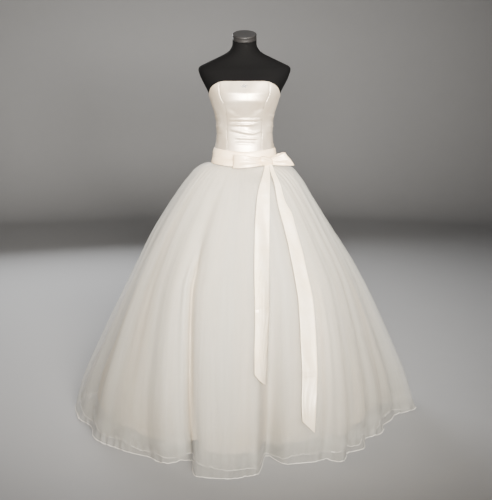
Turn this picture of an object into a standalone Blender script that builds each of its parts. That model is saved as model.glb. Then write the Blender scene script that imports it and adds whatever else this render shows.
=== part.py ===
"""Strapless ball gown with a sash and bow, standing on a dress form.

Metres, +Z up. The origin is on the floor, at the centre of the stand's base, and the gown faces -Y.
Left and right are a viewer's who faces the gown: left is -X. An angle is measured round the body in
plan, from 0 at the centre front to +90 degrees at the right side (+X) and 180 at the centre back.
"""

import math
from collections import namedtuple

import bmesh
import bpy
import numpy as np

# Walls and the gaps between pieces
SEAM_GAP = 0.0003
BODICE_CLEARANCE = 0.0018
BODICE_WALL = 0.0020
SASH_CLEARANCE = 0.0008
SASH_WALL = 0.0020
TULLE_WALL = 0.0012
UNDERSKIRT_WALL = 0.0015
RIBBON_WALL = 0.0015

# Heights
WAIST_SEAM_Z = 1.0300
FRONT_DIP = 0.0120
SASH_HEIGHT = 0.0600
SASH_COLUMNS = 52

# The dress form's sections, from the hips up: half width, depth before and behind the axis, and squareness
Section = namedtuple("Section", "z side front back squareness")
TORSO = [
    Section(0.862, 0.1440, 0.0860, 0.0990, 2.20),
    Section(0.872, 0.1530, 0.0930, 0.1070, 2.20),
    Section(0.910, 0.1600, 0.0990, 0.1140, 2.20),
    Section(0.955, 0.1570, 0.1010, 0.1140, 2.15),
    Section(0.995, 0.1440, 0.0990, 0.1070, 2.10),
    Section(1.030, 0.1285, 0.0950, 0.0980, 2.10),
    Section(1.064, 0.1212, 0.0900, 0.0920, 2.10),
    Section(1.090, 0.1165, 0.0870, 0.0890, 2.10),
    Section(1.112, 0.1113, 0.0850, 0.0870, 2.10),
    Section(1.145, 0.1087, 0.0840, 0.0860, 2.10),
    Section(1.180, 0.1100, 0.0865, 0.0870, 2.10),
    Section(1.210, 0.1128, 0.0940, 0.0890, 2.10),
    Section(1.236, 0.1190, 0.1045, 0.0915, 2.10),
    Section(1.262, 0.1278, 0.1150, 0.0940, 2.15),
    Section(1.290, 0.1365, 0.1220, 0.0975, 2.20),
    Section(1.313, 0.1462, 0.1180, 0.1000, 2.30),
    Section(1.335, 0.1575, 0.1100, 0.1010, 2.40),
    Section(1.356, 0.1685, 0.1010, 0.1000, 2.50),
    Section(1.378, 0.1775, 0.0890, 0.0965, 2.60),
    Section(1.397, 0.1820, 0.0780, 0.0920, 2.60),
    Section(1.409, 0.1770, 0.0700, 0.0870, 2.50),
    Section(1.421, 0.1540, 0.0640, 0.0820, 2.40),
    Section(1.437, 0.1200, 0.0580, 0.0750, 2.30),
    Section(1.452, 0.0880, 0.0530, 0.0680, 2.20),
    Section(1.466, 0.0645, 0.0490, 0.0610, 2.10),
    Section(1.484, 0.0510, 0.0465, 0.0530, 2.00),
    Section(1.514, 0.0472, 0.0472, 0.0472, 2.00),
]
TORSO_COLUMNS = 32

# Neck cap and stand
CAP_RADIUS = 0.0475
CAP_THICKNESS = 0.0220
CAP_BEVEL = 0.0035
CAP_TILT = math.radians(22)
NECK_TILT_SHARE = 0.35
CAP_COLUMNS = 28
POLE_RADIUS = 0.0175
POLE_COLUMNS = 20
BASE_RADIUS = 0.1700
BASE_THICKNESS = 0.0120
BASE_BEVEL = 0.0040
BASE_COLUMNS = 40

# Bodice: its top edge all round, its seams, and the strips that each panel has across
TopEdge = namedtuple("TopEdge", "angle z")
NECKLINE = [
    TopEdge(0, 1.3465),
    TopEdge(28, 1.3465),
    TopEdge(40, 1.3465),
    TopEdge(46, 1.3440),
    TopEdge(53, 1.3360),
    TopEdge(60, 1.3250),
    TopEdge(66, 1.3130),
    TopEdge(75, 1.3010),
    TopEdge(88, 1.2925),
    TopEdge(112, 1.2880),
    TopEdge(180, 1.2840),
]
Seams = namedtuple("Seams", "z princess side_back")
BODICE_SEAMS = [
    Seams(1.018, 37.5, 142.0),
    Seams(1.090, 42.0, 141.0),
    Seams(1.155, 45.0, 139.0),
    Seams(1.210, 42.0, 140.0),
    Seams(1.257, 38.5, 142.0),
    Seams(1.293, 44.0, 143.0),
    Seams(1.347, 45.5, 143.0),
]
Panel = namedtuple("Panel", "name strips")
BODICE_PANELS = [
    Panel("bodice_centre_front", 10),
    Panel("bodice_side_front_right", 7),
    Panel("bodice_side_back_right", 6),
    Panel("bodice_back_right", 5),
    Panel("bodice_back_left", 5),
    Panel("bodice_side_back_left", 6),
    Panel("bodice_side_front_left", 7),
]
BODICE_ROWS = 15
BODICE_MIDDLE_Z = 1.2000
SEARCH_STEPS = 12

# Skirt: the crests and valleys of the top layer's hem, going round from the centre back
Fold = namedtuple("Fold", "angle radius")
HEM_FOLDS = [
    Fold(-180, 0.690),
    Fold(-170, 0.634),
    Fold(-160, 0.702),
    Fold(-150, 0.630),
    Fold(-140, 0.698),
    Fold(-130, 0.636),
    Fold(-120, 0.704),
    Fold(-110, 0.650),
    Fold(-95, 0.716),
    Fold(-79, 0.686),
    Fold(-68, 0.648),
    Fold(-57, 0.676),
    Fold(-44, 0.660),
    Fold(-33, 0.646),
    Fold(-25.5, 0.674),
    Fold(-19, 0.606),
    Fold(-12.5, 0.738),
    Fold(-4, 0.738),
    Fold(3, 0.716),
    Fold(8.5, 0.545),
    Fold(14, 0.634),
    Fold(23, 0.641),
    Fold(27, 0.632),
    Fold(31, 0.684),
    Fold(36.5, 0.632),
    Fold(43, 0.640),
    Fold(51, 0.590),
    Fold(61, 0.612),
    Fold(69, 0.592),
    Fold(79, 0.616),
    Fold(89, 0.714),
    Fold(101, 0.640),
    Fold(111, 0.694),
    Fold(121, 0.628),
    Fold(132, 0.700),
    Fold(143, 0.634),
    Fold(155, 0.706),
    Fold(168, 0.634),
]
LEFT_SIDE_SEAM = -110
RIGHT_SIDE_SEAM = 101
FOLD_FLOOR = 0.545
FOLD_GROWTH = 1.35
FOLD_SWING = 0.22
FOLD_SWING_Z = 0.60

# Skirt rings from the waist seam to the hem: the top layer's outer face at the sides, front and back, how
# far the gathers stand in, how much of the seam's front dip and of the bow's dent is left, and how far the
# other layers lie in
Ring = namedtuple("Ring", "z left right front back squareness gather dip dent second_in under_in")
SKIRT_RINGS = [
    Ring(1.0297, 0.1325, 0.1325, 0.0995, 0.1025, 2.10, 0.0000, 1.0, 0.0, 0.0018, 0.0036),
    Ring(1.0285, 0.1550, 0.1550, 0.1120, 0.1210, 2.05, 0.0010, 1.0, 0.7, 0.0035, 0.0075),
    Ring(1.0150, 0.1860, 0.1860, 0.1360, 0.1520, 2.00, 0.0035, 0.8, 1.0, 0.0060, 0.0140),
    Ring(0.9750, 0.2260, 0.2240, 0.1800, 0.1960, 2.00, 0.0045, 0.3, 0.5, 0.0070, 0.0180),
    Ring(0.9000, 0.2830, 0.2720, 0.2450, 0.2580, 2.00, 0.0035, 0.0, 0.0, 0.0080, 0.0220),
    Ring(0.7900, 0.3540, 0.3430, 0.3300, 0.3380, 2.00, 0.0015, 0.0, 0.0, 0.0080, 0.0240),
    Ring(0.6400, 0.4340, 0.4410, 0.4290, 0.4350, 2.00, 0.0000, 0.0, 0.0, 0.0080, 0.0260),
    Ring(0.3000, 0.6060, 0.6120, 0.6090, 0.6120, 2.00, 0.0000, 0.0, 0.0, 0.0080, 0.0290),
    Ring(0.1400, 0.6790, 0.6810, 0.6800, 0.6810, 2.00, 0.0000, 0.0, 0.0, 0.0080, 0.0300),
    Ring(0.0000, 0.7220, 0.7220, 0.7220, 0.7220, 2.00, 0.0000, 0.0, 0.0, 0.0080, 0.0300),
]

# The three layers: the rings that each uses, its strips between two folds, its fold depth and hem height
Layer = namedtuple("Layer", "name rings strips fold_share inset hem_z wall")
INNER_RINGS = (0, 1, 2, 6, 7, 9)
TOP_LAYER = Layer("skirt_top_tulle", range(len(SKIRT_RINGS)), 3, 1.00, None, 0.0, TULLE_WALL)
SECOND_LAYER = Layer("skirt_second_tulle", INNER_RINGS, 3, 0.93, "second_in", 0.012, TULLE_WALL)
UNDERSKIRT = Layer("underskirt", INNER_RINGS, 2, 0.72, "under_in", 0.045, UNDERSKIRT_WALL)
HEM_LIFT_Z = 0.30

# Bow: where it sits on the sash, its knot and its two loops
BOW_ANGLE = math.radians(44.5)
BOW_Z = 1.0400
BOW_DENT = 0.0140
BOW_DENT_ANGLE = math.radians(30)
BOW_DENT_WIDTH = math.radians(40)
KNOT_HALF_LENGTH = 0.0300
KNOT_HALF_DEPTH = 0.0130
KNOT_HALF_HEIGHT = 0.0175
KNOT_SLOPE = math.radians(-16)
KNOT_COLUMNS = 16
KNOT_ROWS = 8
KNOT_SEAT = 0.0004
KNOT_SQUARENESS = 3
Loop = namedtuple("Loop", "name side length depth root_height end_height end_z turn slant root")
LOOPS = [
    Loop("bow_loop_left", -1, 0.1200, 0.0300, 0.0200, 0.0540, 1.0430, 0.70, 0.004, 0.012),
    Loop("bow_loop_right", 1, 0.0840, 0.0300, 0.0200, 0.0520, 1.0490, -0.50, 0.040, 0.014),
]
LOOP_STRIPS = 16
LOOP_ENDS = 0.075
LOOP_SWELL = 0.65
LOOP_FLARE = 0.60

# Sash tails from the knot down: middle, width, and the oblique end
TailRow = namedtuple("TailRow", "z x width")
LEFT_TAIL = [
    TailRow(1.0290, 0.0870, 0.0150),
    TailRow(1.0210, 0.0875, 0.0170),
    TailRow(0.9955, 0.0853, 0.0270),
    TailRow(0.9490, 0.0766, 0.0420),
    TailRow(0.8650, 0.0692, 0.0520),
    TailRow(0.7450, 0.0650, 0.0560),
    TailRow(0.6290, 0.0640, 0.0555),
    TailRow(0.4810, 0.0632, 0.0512),
    TailRow(0.4000, 0.0598, 0.0480),
    TailRow(0.3070, 0.0565, 0.0395),
]
RIGHT_TAIL = [
    TailRow(1.0290, 0.1030, 0.0110),
    TailRow(1.0200, 0.1045, 0.0130),
    TailRow(0.9630, 0.1256, 0.0220),
    TailRow(0.8890, 0.1440, 0.0330),
    TailRow(0.8650, 0.1545, 0.0420),
    TailRow(0.8010, 0.1730, 0.0440),
    TailRow(0.7317, 0.1915, 0.0480),
    TailRow(0.6565, 0.2070, 0.0495),
    TailRow(0.5570, 0.2255, 0.0550),
    TailRow(0.4810, 0.2310, 0.0570),
    TailRow(0.4000, 0.2345, 0.0575),
    TailRow(0.3000, 0.2370, 0.0560),
    TailRow(0.2165, 0.2330, 0.0540),
    TailRow(0.1275, 0.2300, 0.0450),
]
TAIL_STRIPS = 3
LEFT_TAIL_END_SLOPE = 1.20
RIGHT_TAIL_END_SLOPE = 1.03
TAIL_CLEARANCE = 0.0030
TAIL_REACH = 0.0100
TAIL_SIGHT = np.arange(-20, 70, 0.5)
TAIL_FREE_DROP = 0.0060

# Colours as linear RGB, with roughness and metallic value
Finish = namedtuple("Finish", "red green blue roughness metallic")
FINISHES = {
    "satin": Finish(0.83, 0.77, 0.69, 0.32, 0.0),
    "sash_satin": Finish(0.86, 0.73, 0.60, 0.35, 0.0),
    "tulle": Finish(0.78, 0.75, 0.69, 0.80, 0.0),
    "underskirt_satin": Finish(0.74, 0.69, 0.62, 0.50, 0.0),
    "form_jersey": Finish(0.006, 0.006, 0.007, 0.85, 0.0),
    "cap_metal": Finish(0.10, 0.10, 0.10, 0.35, 0.8),
    "stand_steel": Finish(0.03, 0.03, 0.03, 0.40, 0.6),
}


def interpolate(rows, key, value, column):
    """A smooth curve through one column of a table, read at value of the key column."""
    keys = np.array([getattr(row, key) for row in rows], float)
    values = np.array([getattr(row, column) for row in rows], float)
    order = np.argsort(keys)
    keys, values = keys[order], values[order]
    value = min(max(value, keys[0]), keys[-1])
    k = min(max(int(np.searchsorted(keys, value)) - 1, 0), len(keys) - 2)
    slopes = np.gradient(values, keys)
    width = keys[k + 1] - keys[k]
    t = (value - keys[k]) / width
    return float(
        (1 + 2 * t) * (1 - t) ** 2 * values[k]
        + t * (1 - t) ** 2 * width * slopes[k]
        + t * t * (3 - 2 * t) * values[k + 1]
        + t * t * (t - 1) * width * slopes[k + 1]
    )


def polar_radius(angle, side, front, back, squareness):
    """How far a rounded section reaches from the axis at an angle."""
    depth = front if math.cos(angle) >= 0 else back
    across = abs(math.sin(angle)) / side
    along = abs(math.cos(angle)) / depth
    return (across**squareness + along**squareness) ** (-1 / squareness)


def plan_point(angle, radius, z):
    """A point at a plan angle, radius and height."""
    return np.array([radius * math.sin(angle), -radius * math.cos(angle), z])


def torso_point(angle, z):
    """A point on the dress form."""
    side, front, back, squareness = (
        interpolate(TORSO, "z", z, column) for column in ("side", "front", "back", "squareness")
    )
    return plan_point(angle, polar_radius(angle, side, front, back, squareness), z)


def off_torso(angle, z, distance):
    """A point that far outside the dress form, square to its surface."""
    small = 1e-3
    round_it = torso_point(angle + small, z) - torso_point(angle - small, z)
    up_it = torso_point(angle, z + small) - torso_point(angle, z - small)
    normal = np.cross(round_it, up_it)
    return torso_point(angle, z) + normal / np.linalg.norm(normal) * distance


def seam_z(angle):
    """The waist seam's height: level, but for a dip at the centre front."""
    return WAIST_SEAM_Z - FRONT_DIP * max(0.0, math.cos(angle)) ** 2


def clear_scene():
    """Empties the scene."""
    for old in list(bpy.data.objects):
        bpy.data.objects.remove(old)


def material(name):
    """The named finish as a material, made once."""
    if name in bpy.data.materials:
        return bpy.data.materials[name]
    finish = FINISHES[name]
    made = bpy.data.materials.new(name)
    made.use_nodes = True
    shader = made.node_tree.nodes["Principled BSDF"]
    shader.inputs["Base Color"].default_value = (finish.red, finish.green, finish.blue, 1)
    shader.inputs["Roughness"].default_value = finish.roughness
    shader.inputs["Metallic"].default_value = finish.metallic
    return made


def add_object(name, points, faces, finish):
    """A closed mesh object with its faces turned outwards."""
    mesh = bpy.data.meshes.new(name)
    mesh.from_pydata([tuple(p) for p in points], [], faces)
    work = bmesh.new()
    work.from_mesh(mesh)
    bmesh.ops.recalc_face_normals(work, faces=work.faces)
    work.to_mesh(mesh)
    work.free()
    mesh.shade_smooth()
    mesh.set_sharp_from_angle(angle=math.radians(40))
    mesh.materials.append(material(finish))
    made = bpy.data.objects.new(name, mesh)
    bpy.context.scene.collection.objects.link(made)
    return made


def grid_normals(grid, closed):
    """The direction square to a grid of points at each point, from its neighbours."""
    if closed:
        across = np.roll(grid, -1, axis=0) - np.roll(grid, 1, axis=0)
    else:
        across = np.gradient(grid, axis=0)
    along = np.gradient(grid, axis=1)
    normals = np.cross(across, along)
    return normals / np.linalg.norm(normals, axis=2, keepdims=True)


def outwards(grid, normals):
    """The normals turned away from the body's axis or, where the wall lies level, upwards."""
    away = grid * [1, 1, 0]
    away /= np.maximum(np.linalg.norm(away, axis=2, keepdims=True), 1e-9)
    sense = (normals * (away + [0, 0, 1])).sum(axis=2, keepdims=True)
    return normals * np.where(sense < 0, -1.0, 1.0)


def grid_faces(columns, rows, closed):
    """Triangles over a grid of points, all split the same way so that two faces of a wall stay parallel."""
    faces = []
    for i in range(columns if closed else columns - 1):
        after = (i + 1) % columns
        for j in range(rows - 1):
            a, b = i * rows + j, after * rows + j
            faces += [(a, b, b + 1), (a, b + 1, a + 1)]
    return faces


def add_wall(name, outer, inner, closed, finish):
    """A wall between two grids of points, closed along its edges."""
    columns, rows = outer.shape[:2]
    shift = columns * rows
    faces = grid_faces(columns, rows, closed)
    faces += [tuple(k + shift for k in reversed(face)) for face in faces]
    edges = []
    for i in range(columns if closed else columns - 1):
        after = (i + 1) % columns
        edges.append((i * rows, after * rows))
        edges.append((after * rows + rows - 1, i * rows + rows - 1))
    if not closed:
        last = (columns - 1) * rows
        edges += [(j + 1, j) for j in range(rows - 1)]
        edges += [(last + j, last + j + 1) for j in range(rows - 1)]
    for a, b in edges:
        faces += [(a, a + shift, b + shift), (a, b + shift, b)]
    points = np.concatenate([outer.reshape(-1, 3), inner.reshape(-1, 3)])
    return add_object(name, points, faces, finish)


def cut_strip(outer, inner, first, last):
    """Columns first to last of a closed wall, with both edges drawn in by half a seam's gap."""
    columns = [k % len(outer) for k in range(first, last + 1)]
    faces = []
    for grid in (outer, inner):
        strip = grid[columns].copy()
        for edge, beside in ((0, 1), (-1, -2)):
            inwards = strip[beside] - strip[edge]
            inwards /= np.linalg.norm(inwards, axis=1, keepdims=True)
            strip[edge] += inwards * SEAM_GAP / 2
        faces.append(strip)
    return faces


def lathe(name, profile, columns, finish):
    """A solid turned about the Z axis from (radius, z) points that start and end on it."""
    rings = [
        [plan_point(2 * math.pi * i / columns, radius, z) for i in range(columns)] for radius, z in profile
    ]
    points = [p for ring in rings for p in ring]
    faces = [tuple(range(columns)), tuple(range(len(points) - columns, len(points)))]
    for k in range(len(rings) - 1):
        for i in range(columns):
            after = (i + 1) % columns
            a, b = k * columns, (k + 1) * columns
            faces.append((a + i, a + after, b + after, b + i))
    return add_object(name, points, faces, finish)


def disc_profile(radius, thickness, bevel):
    """The half outline of a disc with bevelled edges."""
    return [(radius - bevel, 0), (radius, bevel), (radius, thickness - bevel), (radius - bevel, thickness)]


def build_dress_form():
    """The torso, from the hips to a neck that is cut off at a slant for its cap."""
    neck_tilt = {len(TORSO) - 1: math.tan(CAP_TILT), len(TORSO) - 2: NECK_TILT_SHARE * math.tan(CAP_TILT)}
    points, faces = [], []
    for k, section in enumerate(TORSO):
        for i in range(TORSO_COLUMNS):
            point = torso_point(2 * math.pi * i / TORSO_COLUMNS, section.z)
            point[2] += point[1] * neck_tilt.get(k, 0.0)
            points.append(point)
    for k in range(len(TORSO) - 1):
        for i in range(TORSO_COLUMNS):
            after = (i + 1) % TORSO_COLUMNS
            a, b = k * TORSO_COLUMNS, (k + 1) * TORSO_COLUMNS
            faces.append((a + i, a + after, b + after, b + i))
    faces.append(tuple(range(TORSO_COLUMNS)))
    faces.append(tuple(range(len(points) - TORSO_COLUMNS, len(points))))
    add_object("form_torso", points, faces, "form_jersey")


def build_neck_cap():
    """A bevelled disc on the slanted top of the neck."""
    cap = lathe("form_neck_cap", disc_profile(CAP_RADIUS, CAP_THICKNESS, CAP_BEVEL), CAP_COLUMNS, "cap_metal")
    cap.rotation_euler = (CAP_TILT, 0, 0)
    up = np.array([0, -math.sin(CAP_TILT), math.cos(CAP_TILT)])
    cap.location = np.array([0, 0, TORSO[-1].z]) + up * SEAM_GAP


def build_stand():
    """A round base and the pole that carries the torso."""
    lathe("stand_base", disc_profile(BASE_RADIUS, BASE_THICKNESS, BASE_BEVEL), BASE_COLUMNS, "stand_steel")
    foot, head = BASE_THICKNESS + SEAM_GAP, TORSO[0].z - SEAM_GAP
    lathe("stand_pole", [(POLE_RADIUS, foot), (POLE_RADIUS, head)], POLE_COLUMNS, "stand_steel")


def bodice_seam_angles(z):
    """The seven seams' angles at a height, each the left edge of the panel of its number."""
    princess = interpolate(BODICE_SEAMS, "z", z, "princess")
    side_back = interpolate(BODICE_SEAMS, "z", z, "side_back")
    degrees = [-princess, princess, 90, side_back, 180, 360 - side_back, 270]
    return [math.radians(d) for d in degrees]


def neckline_z(angle):
    """The bodice's top edge at an angle, the same on both sides."""
    turned = abs((math.degrees(angle) + 180) % 360 - 180)
    return interpolate(NECKLINE, "angle", turned, "z")


def bodice_place(panel, across, up):
    """The (angle, z) of a point on a panel, from its shares across and up."""
    z = BODICE_MIDDLE_Z
    for _ in range(SEARCH_STEPS):
        seams = bodice_seam_angles(z)
        seams.append(seams[0] + 2 * math.pi)
        angle = seams[panel] + (seams[panel + 1] - seams[panel]) * across
        low = seam_z(angle)
        z = low + (neckline_z(angle) - low) * up
    return angle, z


def build_bodice():
    """Seven panels over the form, with princess seams before and behind and one at the centre back."""
    places = [
        [bodice_place(k, i / panel.strips, j / (BODICE_ROWS - 1)) for j in range(BODICE_ROWS)]
        for k, panel in enumerate(BODICE_PANELS)
        for i in range(panel.strips)
    ]
    inner = np.array([[off_torso(a, z, BODICE_CLEARANCE) for a, z in column] for column in places])
    outer = np.array([[off_torso(a, z, BODICE_CLEARANCE + BODICE_WALL) for a, z in column] for column in places])
    for grid in (inner, outer):
        grid[:, 0, 2] = [column[0][1] for column in places]
    first = 0
    for panel in BODICE_PANELS:
        last = first + panel.strips
        add_wall(panel.name, *cut_strip(outer, inner, first, last), False, "satin")
        first = last


def build_sash():
    """A level band round the bodice's lower edge."""
    shares = (0.0, 0.5, 1.0)
    inside = BODICE_CLEARANCE + BODICE_WALL + SASH_CLEARANCE
    grids = []
    for distance in (inside + SASH_WALL, inside):
        grid = []
        for i in range(SASH_COLUMNS):
            angle = 2 * math.pi * i / SASH_COLUMNS
            heights = [seam_z(angle) + share * SASH_HEIGHT for share in shares]
            column = [off_torso(angle, z, distance) for z in heights]
            for point, z in zip(column, heights):
                point[2] = z
            grid.append(column)
        grids.append(np.array(grid))
    add_wall("sash_band", grids[0], grids[1], True, "sash_satin")


def hem_radius(angle):
    """The top layer's hem radius: crests and valleys joined by half waves."""
    turned = (math.degrees(angle) + 180) % 360 - 180
    rows = HEM_FOLDS + [Fold(180, HEM_FOLDS[0].radius)]
    k = max(i for i in range(len(rows) - 1) if rows[i].angle <= turned)
    share = (turned - rows[k].angle) / (rows[k + 1].angle - rows[k].angle)
    eased = (1 - math.cos(math.pi * share)) / 2
    return rows[k].radius + (rows[k + 1].radius - rows[k].radius) * eased


def swing(z):
    """How far the folds at a height lie towards the sides, because the front ones hang straight down."""
    return FOLD_SWING * min(1.0, max(0.0, z / FOLD_SWING_Z))


def angle_above(hem_angle, z):
    """The angle at a height of the fold line that meets the hem at hem_angle."""
    angle = hem_angle
    for _ in range(SEARCH_STEPS):
        angle = hem_angle + swing(z) * math.sin(2 * angle)
    return angle


def fold_depth(angle, z, fold_share):
    """How far a fold brings a layer in from the skirt's smooth shape."""
    hem = SKIRT_RINGS[-1].front
    whole = hem_radius(angle - swing(z) * math.sin(2 * angle)) - hem
    floor = FOLD_FLOOR - hem
    growth = max(0.0, 1 - z / WAIST_SEAM_Z) ** FOLD_GROWTH
    return (floor + fold_share * (whole - floor)) * growth


def ring_normal(k):
    """The outward direction in the (radius, height) plane at a ring of the front outline."""
    before, after = SKIRT_RINGS[max(k - 1, 0)], SKIRT_RINGS[min(k + 1, len(SKIRT_RINGS) - 1)]
    out, down = after.front - before.front, before.z - after.z
    length = math.hypot(out, down)
    return down / length, out / length


def layer_grid(layer):
    """(the outer face's grid of points, the hem angle of each column) of one skirt layer."""
    rows = HEM_FOLDS + [Fold(180, HEM_FOLDS[0].radius)]
    hem_angles = [
        math.radians(rows[k].angle + (rows[k + 1].angle - rows[k].angle) * step / layer.strips)
        for k in range(len(HEM_FOLDS))
        for step in range(layer.strips)
    ]
    grid = []
    for i, hem_angle in enumerate(hem_angles):
        column = []
        for k in layer.rings:
            ring = SKIRT_RINGS[k]
            angle = angle_above(hem_angle, ring.z)
            side = ring.left if math.sin(angle) < 0 else ring.right
            radius = polar_radius(angle, side, ring.front, ring.back, ring.squareness)
            radius += fold_depth(angle, ring.z, layer.fold_share)
            z = ring.z - FRONT_DIP * ring.dip * max(0.0, math.cos(angle)) ** 2
            z -= BOW_DENT * ring.dent * math.exp(-(((angle - BOW_DENT_ANGLE) / BOW_DENT_WIDTH) ** 2))
            inset = (i % 2) * ring.gather + (getattr(ring, layer.inset) if layer.inset else 0.0)
            across, up = ring_normal(k)
            lift = layer.hem_z * max(0.0, 1 - ring.z / HEM_LIFT_Z)
            if ring.z > 0:
                z -= inset * up
            column.append(plan_point(angle, radius - inset * across, z + lift))
        grid.append(column)
    return np.array(grid), hem_angles


def build_skirt_layer(layer, finish):
    """A front and a back half, gathered into the waist seam and joined at the sides."""
    outer, hem_angles = layer_grid(layer)
    inner = outer - outwards(outer, grid_normals(outer, True)) * layer.wall
    inner[:, -1, 2] = outer[:, -1, 2]
    degrees = [round(math.degrees(a), 3) for a in hem_angles]
    left, right = degrees.index(LEFT_SIDE_SEAM), degrees.index(RIGHT_SIDE_SEAM)
    count = len(hem_angles)
    add_wall(layer.name + "_front", *cut_strip(outer, inner, left, right), False, finish)
    add_wall(layer.name + "_back", *cut_strip(outer, inner, right, left + count), False, finish)


def bow_frame():
    """(seat on the sash, direction along it to the right, direction out of it) at the bow."""
    thickness = BODICE_CLEARANCE + BODICE_WALL + SASH_CLEARANCE + SASH_WALL
    seat = off_torso(BOW_ANGLE, BOW_Z, thickness)
    beside = off_torso(BOW_ANGLE + 0.05, BOW_Z, thickness) - off_torso(BOW_ANGLE - 0.05, BOW_Z, thickness)
    beside[2] = 0
    along = beside / np.linalg.norm(beside)
    out = np.array([along[1], -along[0], 0])
    return seat, along, out


def knot_centre():
    """The middle of the knot, which just clears the sash."""
    seat, _, out = bow_frame()
    return seat + out * (KNOT_HALF_DEPTH + SEAM_GAP)


def add_knot(name, grow):
    """The knot as a soft, flattened roll that slopes down to the right."""
    _, along, out = bow_frame()
    middle = knot_centre()
    up = np.array([0, 0, 1])
    long_way = along * math.cos(KNOT_SLOPE) + up * math.sin(KNOT_SLOPE)
    high_way = np.cross(out, long_way) * -1
    sizes = (KNOT_HALF_LENGTH + grow, KNOT_HALF_DEPTH + grow, KNOT_HALF_HEIGHT + grow)
    points = [middle - long_way * sizes[0], middle + long_way * sizes[0]]
    for j in range(1, KNOT_ROWS):
        share = -math.cos(math.pi * j / KNOT_ROWS)
        girth = (1 - abs(share) ** KNOT_SQUARENESS) ** (1 / KNOT_SQUARENESS)
        for i in range(KNOT_COLUMNS):
            turn = 2 * math.pi * i / KNOT_COLUMNS
            points.append(
                middle
                + long_way * share * sizes[0]
                + out * math.cos(turn) * girth * sizes[1]
                + high_way * math.sin(turn) * girth * sizes[2]
            )
    faces = []
    last = 2 + (KNOT_ROWS - 2) * KNOT_COLUMNS
    for i in range(KNOT_COLUMNS):
        after = (i + 1) % KNOT_COLUMNS
        faces.append((0, 2 + i, 2 + after))
        faces.append((1, last + i, last + after))
        for j in range(KNOT_ROWS - 2):
            a, b = 2 + j * KNOT_COLUMNS, 2 + (j + 1) * KNOT_COLUMNS
            faces.append((a + i, a + after, b + after, b + i))
    return add_object(name, points, faces, "sash_satin")


def cut_by_knot(piece, cutter):
    """Seats a piece against the knot by taking the knot's place out of it."""
    cut = piece.modifiers.new("seat", "BOOLEAN")
    cut.operation = "DIFFERENCE"
    cut.solver = "EXACT"
    cut.object = cutter


def loop_point(loop, share, height):
    """A point of a loop: share runs out along its front and back again behind, height is -0.5 to 0.5."""
    _, along, out = bow_frame()
    reach = math.sin(math.pi * share) ** 2
    swell = LOOP_SWELL * loop.depth * math.sin(2 * math.pi * share) * math.sin(math.pi * share)
    ribbon = loop.root_height + (loop.end_height - loop.root_height) * reach**LOOP_FLARE
    length = loop.length - loop.slant * height * reach
    turn = loop.turn * reach
    distance = length * reach
    forward = distance * (1 - turn * turn / 6)
    backward = distance * turn / 2
    z = BOW_Z + (loop.end_z - BOW_Z) * reach + height * ribbon
    place = knot_centre() + loop.side * along * (loop.root + forward)
    place += out * (swell - backward)
    place[2] = z
    return place


def build_bow():
    """The knot, and a loop to each side seated against it."""
    add_knot("bow_knot", 0.0)
    cutter = add_knot("knot_cutter", KNOT_SEAT)
    cutter.hide_render = True
    cutter.display_type = "WIRE"
    for loop in LOOPS:
        shares = np.linspace(LOOP_ENDS, 1 - LOOP_ENDS, LOOP_STRIPS + 1)
        grid = np.array([[loop_point(loop, s, h) for h in (-0.5, 0.0, 0.5)] for s in shares])
        normals = grid_normals(grid, False)
        middle = grid.mean(axis=(0, 1))
        if ((grid - middle) * normals).sum() < 0:
            normals = -normals
        cut_by_knot(add_wall(loop.name, grid, grid - normals * RIBBON_WALL, False, "sash_satin"), cutter)
    return cutter


def skirt_front(z):
    """Points (x, y) of the top layer's front at a height, as its rings and folds give them."""
    rings = SKIRT_RINGS
    found = []
    for degrees in TAIL_SIGHT:
        angle = math.radians(degrees)
        dip = FRONT_DIP * interpolate(rings, "z", z, "dip") * max(0.0, math.cos(angle)) ** 2
        level = min(z + dip, rings[0].z)
        side, front, back = (interpolate(rings, "z", level, c) for c in ("right", "front", "back"))
        radius = polar_radius(angle, side, front, back, 2.0) + fold_depth(angle, z, 1.0)
        found.append((radius * math.sin(angle), -radius * math.cos(angle)))
    return np.array(found)


def tail_y(front, x):
    """How far forward a tail lies at x: before the furthest fold under it."""
    under = front[np.abs(front[:, 0] - x) < TAIL_REACH]
    return under[:, 1].min() - TAIL_CLEARANCE - RIBBON_WALL


def build_tail(name, rows, end_slope, cutter):
    """A satin tail that hangs from the knot down the front of the skirt and ends in an oblique cut."""
    knot_y = knot_centre()[1]
    grid = []
    for step in range(TAIL_STRIPS + 1):
        share = step / TAIL_STRIPS - 0.5
        column = []
        for row in rows:
            z = row.z
            if row is rows[-1]:
                z -= share * row.width * end_slope
            x = row.x + share * row.width
            y = tail_y(skirt_front(z), x) if z < seam_z(BOW_ANGLE) - TAIL_FREE_DROP else knot_y
            column.append((x, min(y, knot_y), z))
        grid.append(column)
    grid = np.array(grid)
    normals = outwards(grid, grid_normals(grid, False))
    tail = add_wall(name, grid, grid - normals * RIBBON_WALL, False, "sash_satin")
    cut_by_knot(tail, cutter)


def main():
    clear_scene()
    build_dress_form()
    build_neck_cap()
    build_stand()
    build_bodice()
    build_sash()
    build_skirt_layer(TOP_LAYER, "tulle")
    build_skirt_layer(SECOND_LAYER, "tulle")
    build_skirt_layer(UNDERSKIRT, "underskirt_satin")
    cutter = build_bow()
    build_tail("sash_tail_left", LEFT_TAIL, LEFT_TAIL_END_SLOPE, cutter)
    build_tail("sash_tail_right", RIGHT_TAIL, RIGHT_TAIL_END_SLOPE, cutter)


main()
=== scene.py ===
"""The looks of a strapless ball gown that stands on a headless dress form.

Metres, +Z up. The gown faces -Y. Left and right are a viewer's who faces it, so left is -X. An angle is
measured round the body in plan: 0 at the centre front, 90 degrees at the right side, 180 at the back.
"""

import math
from collections import namedtuple

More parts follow.
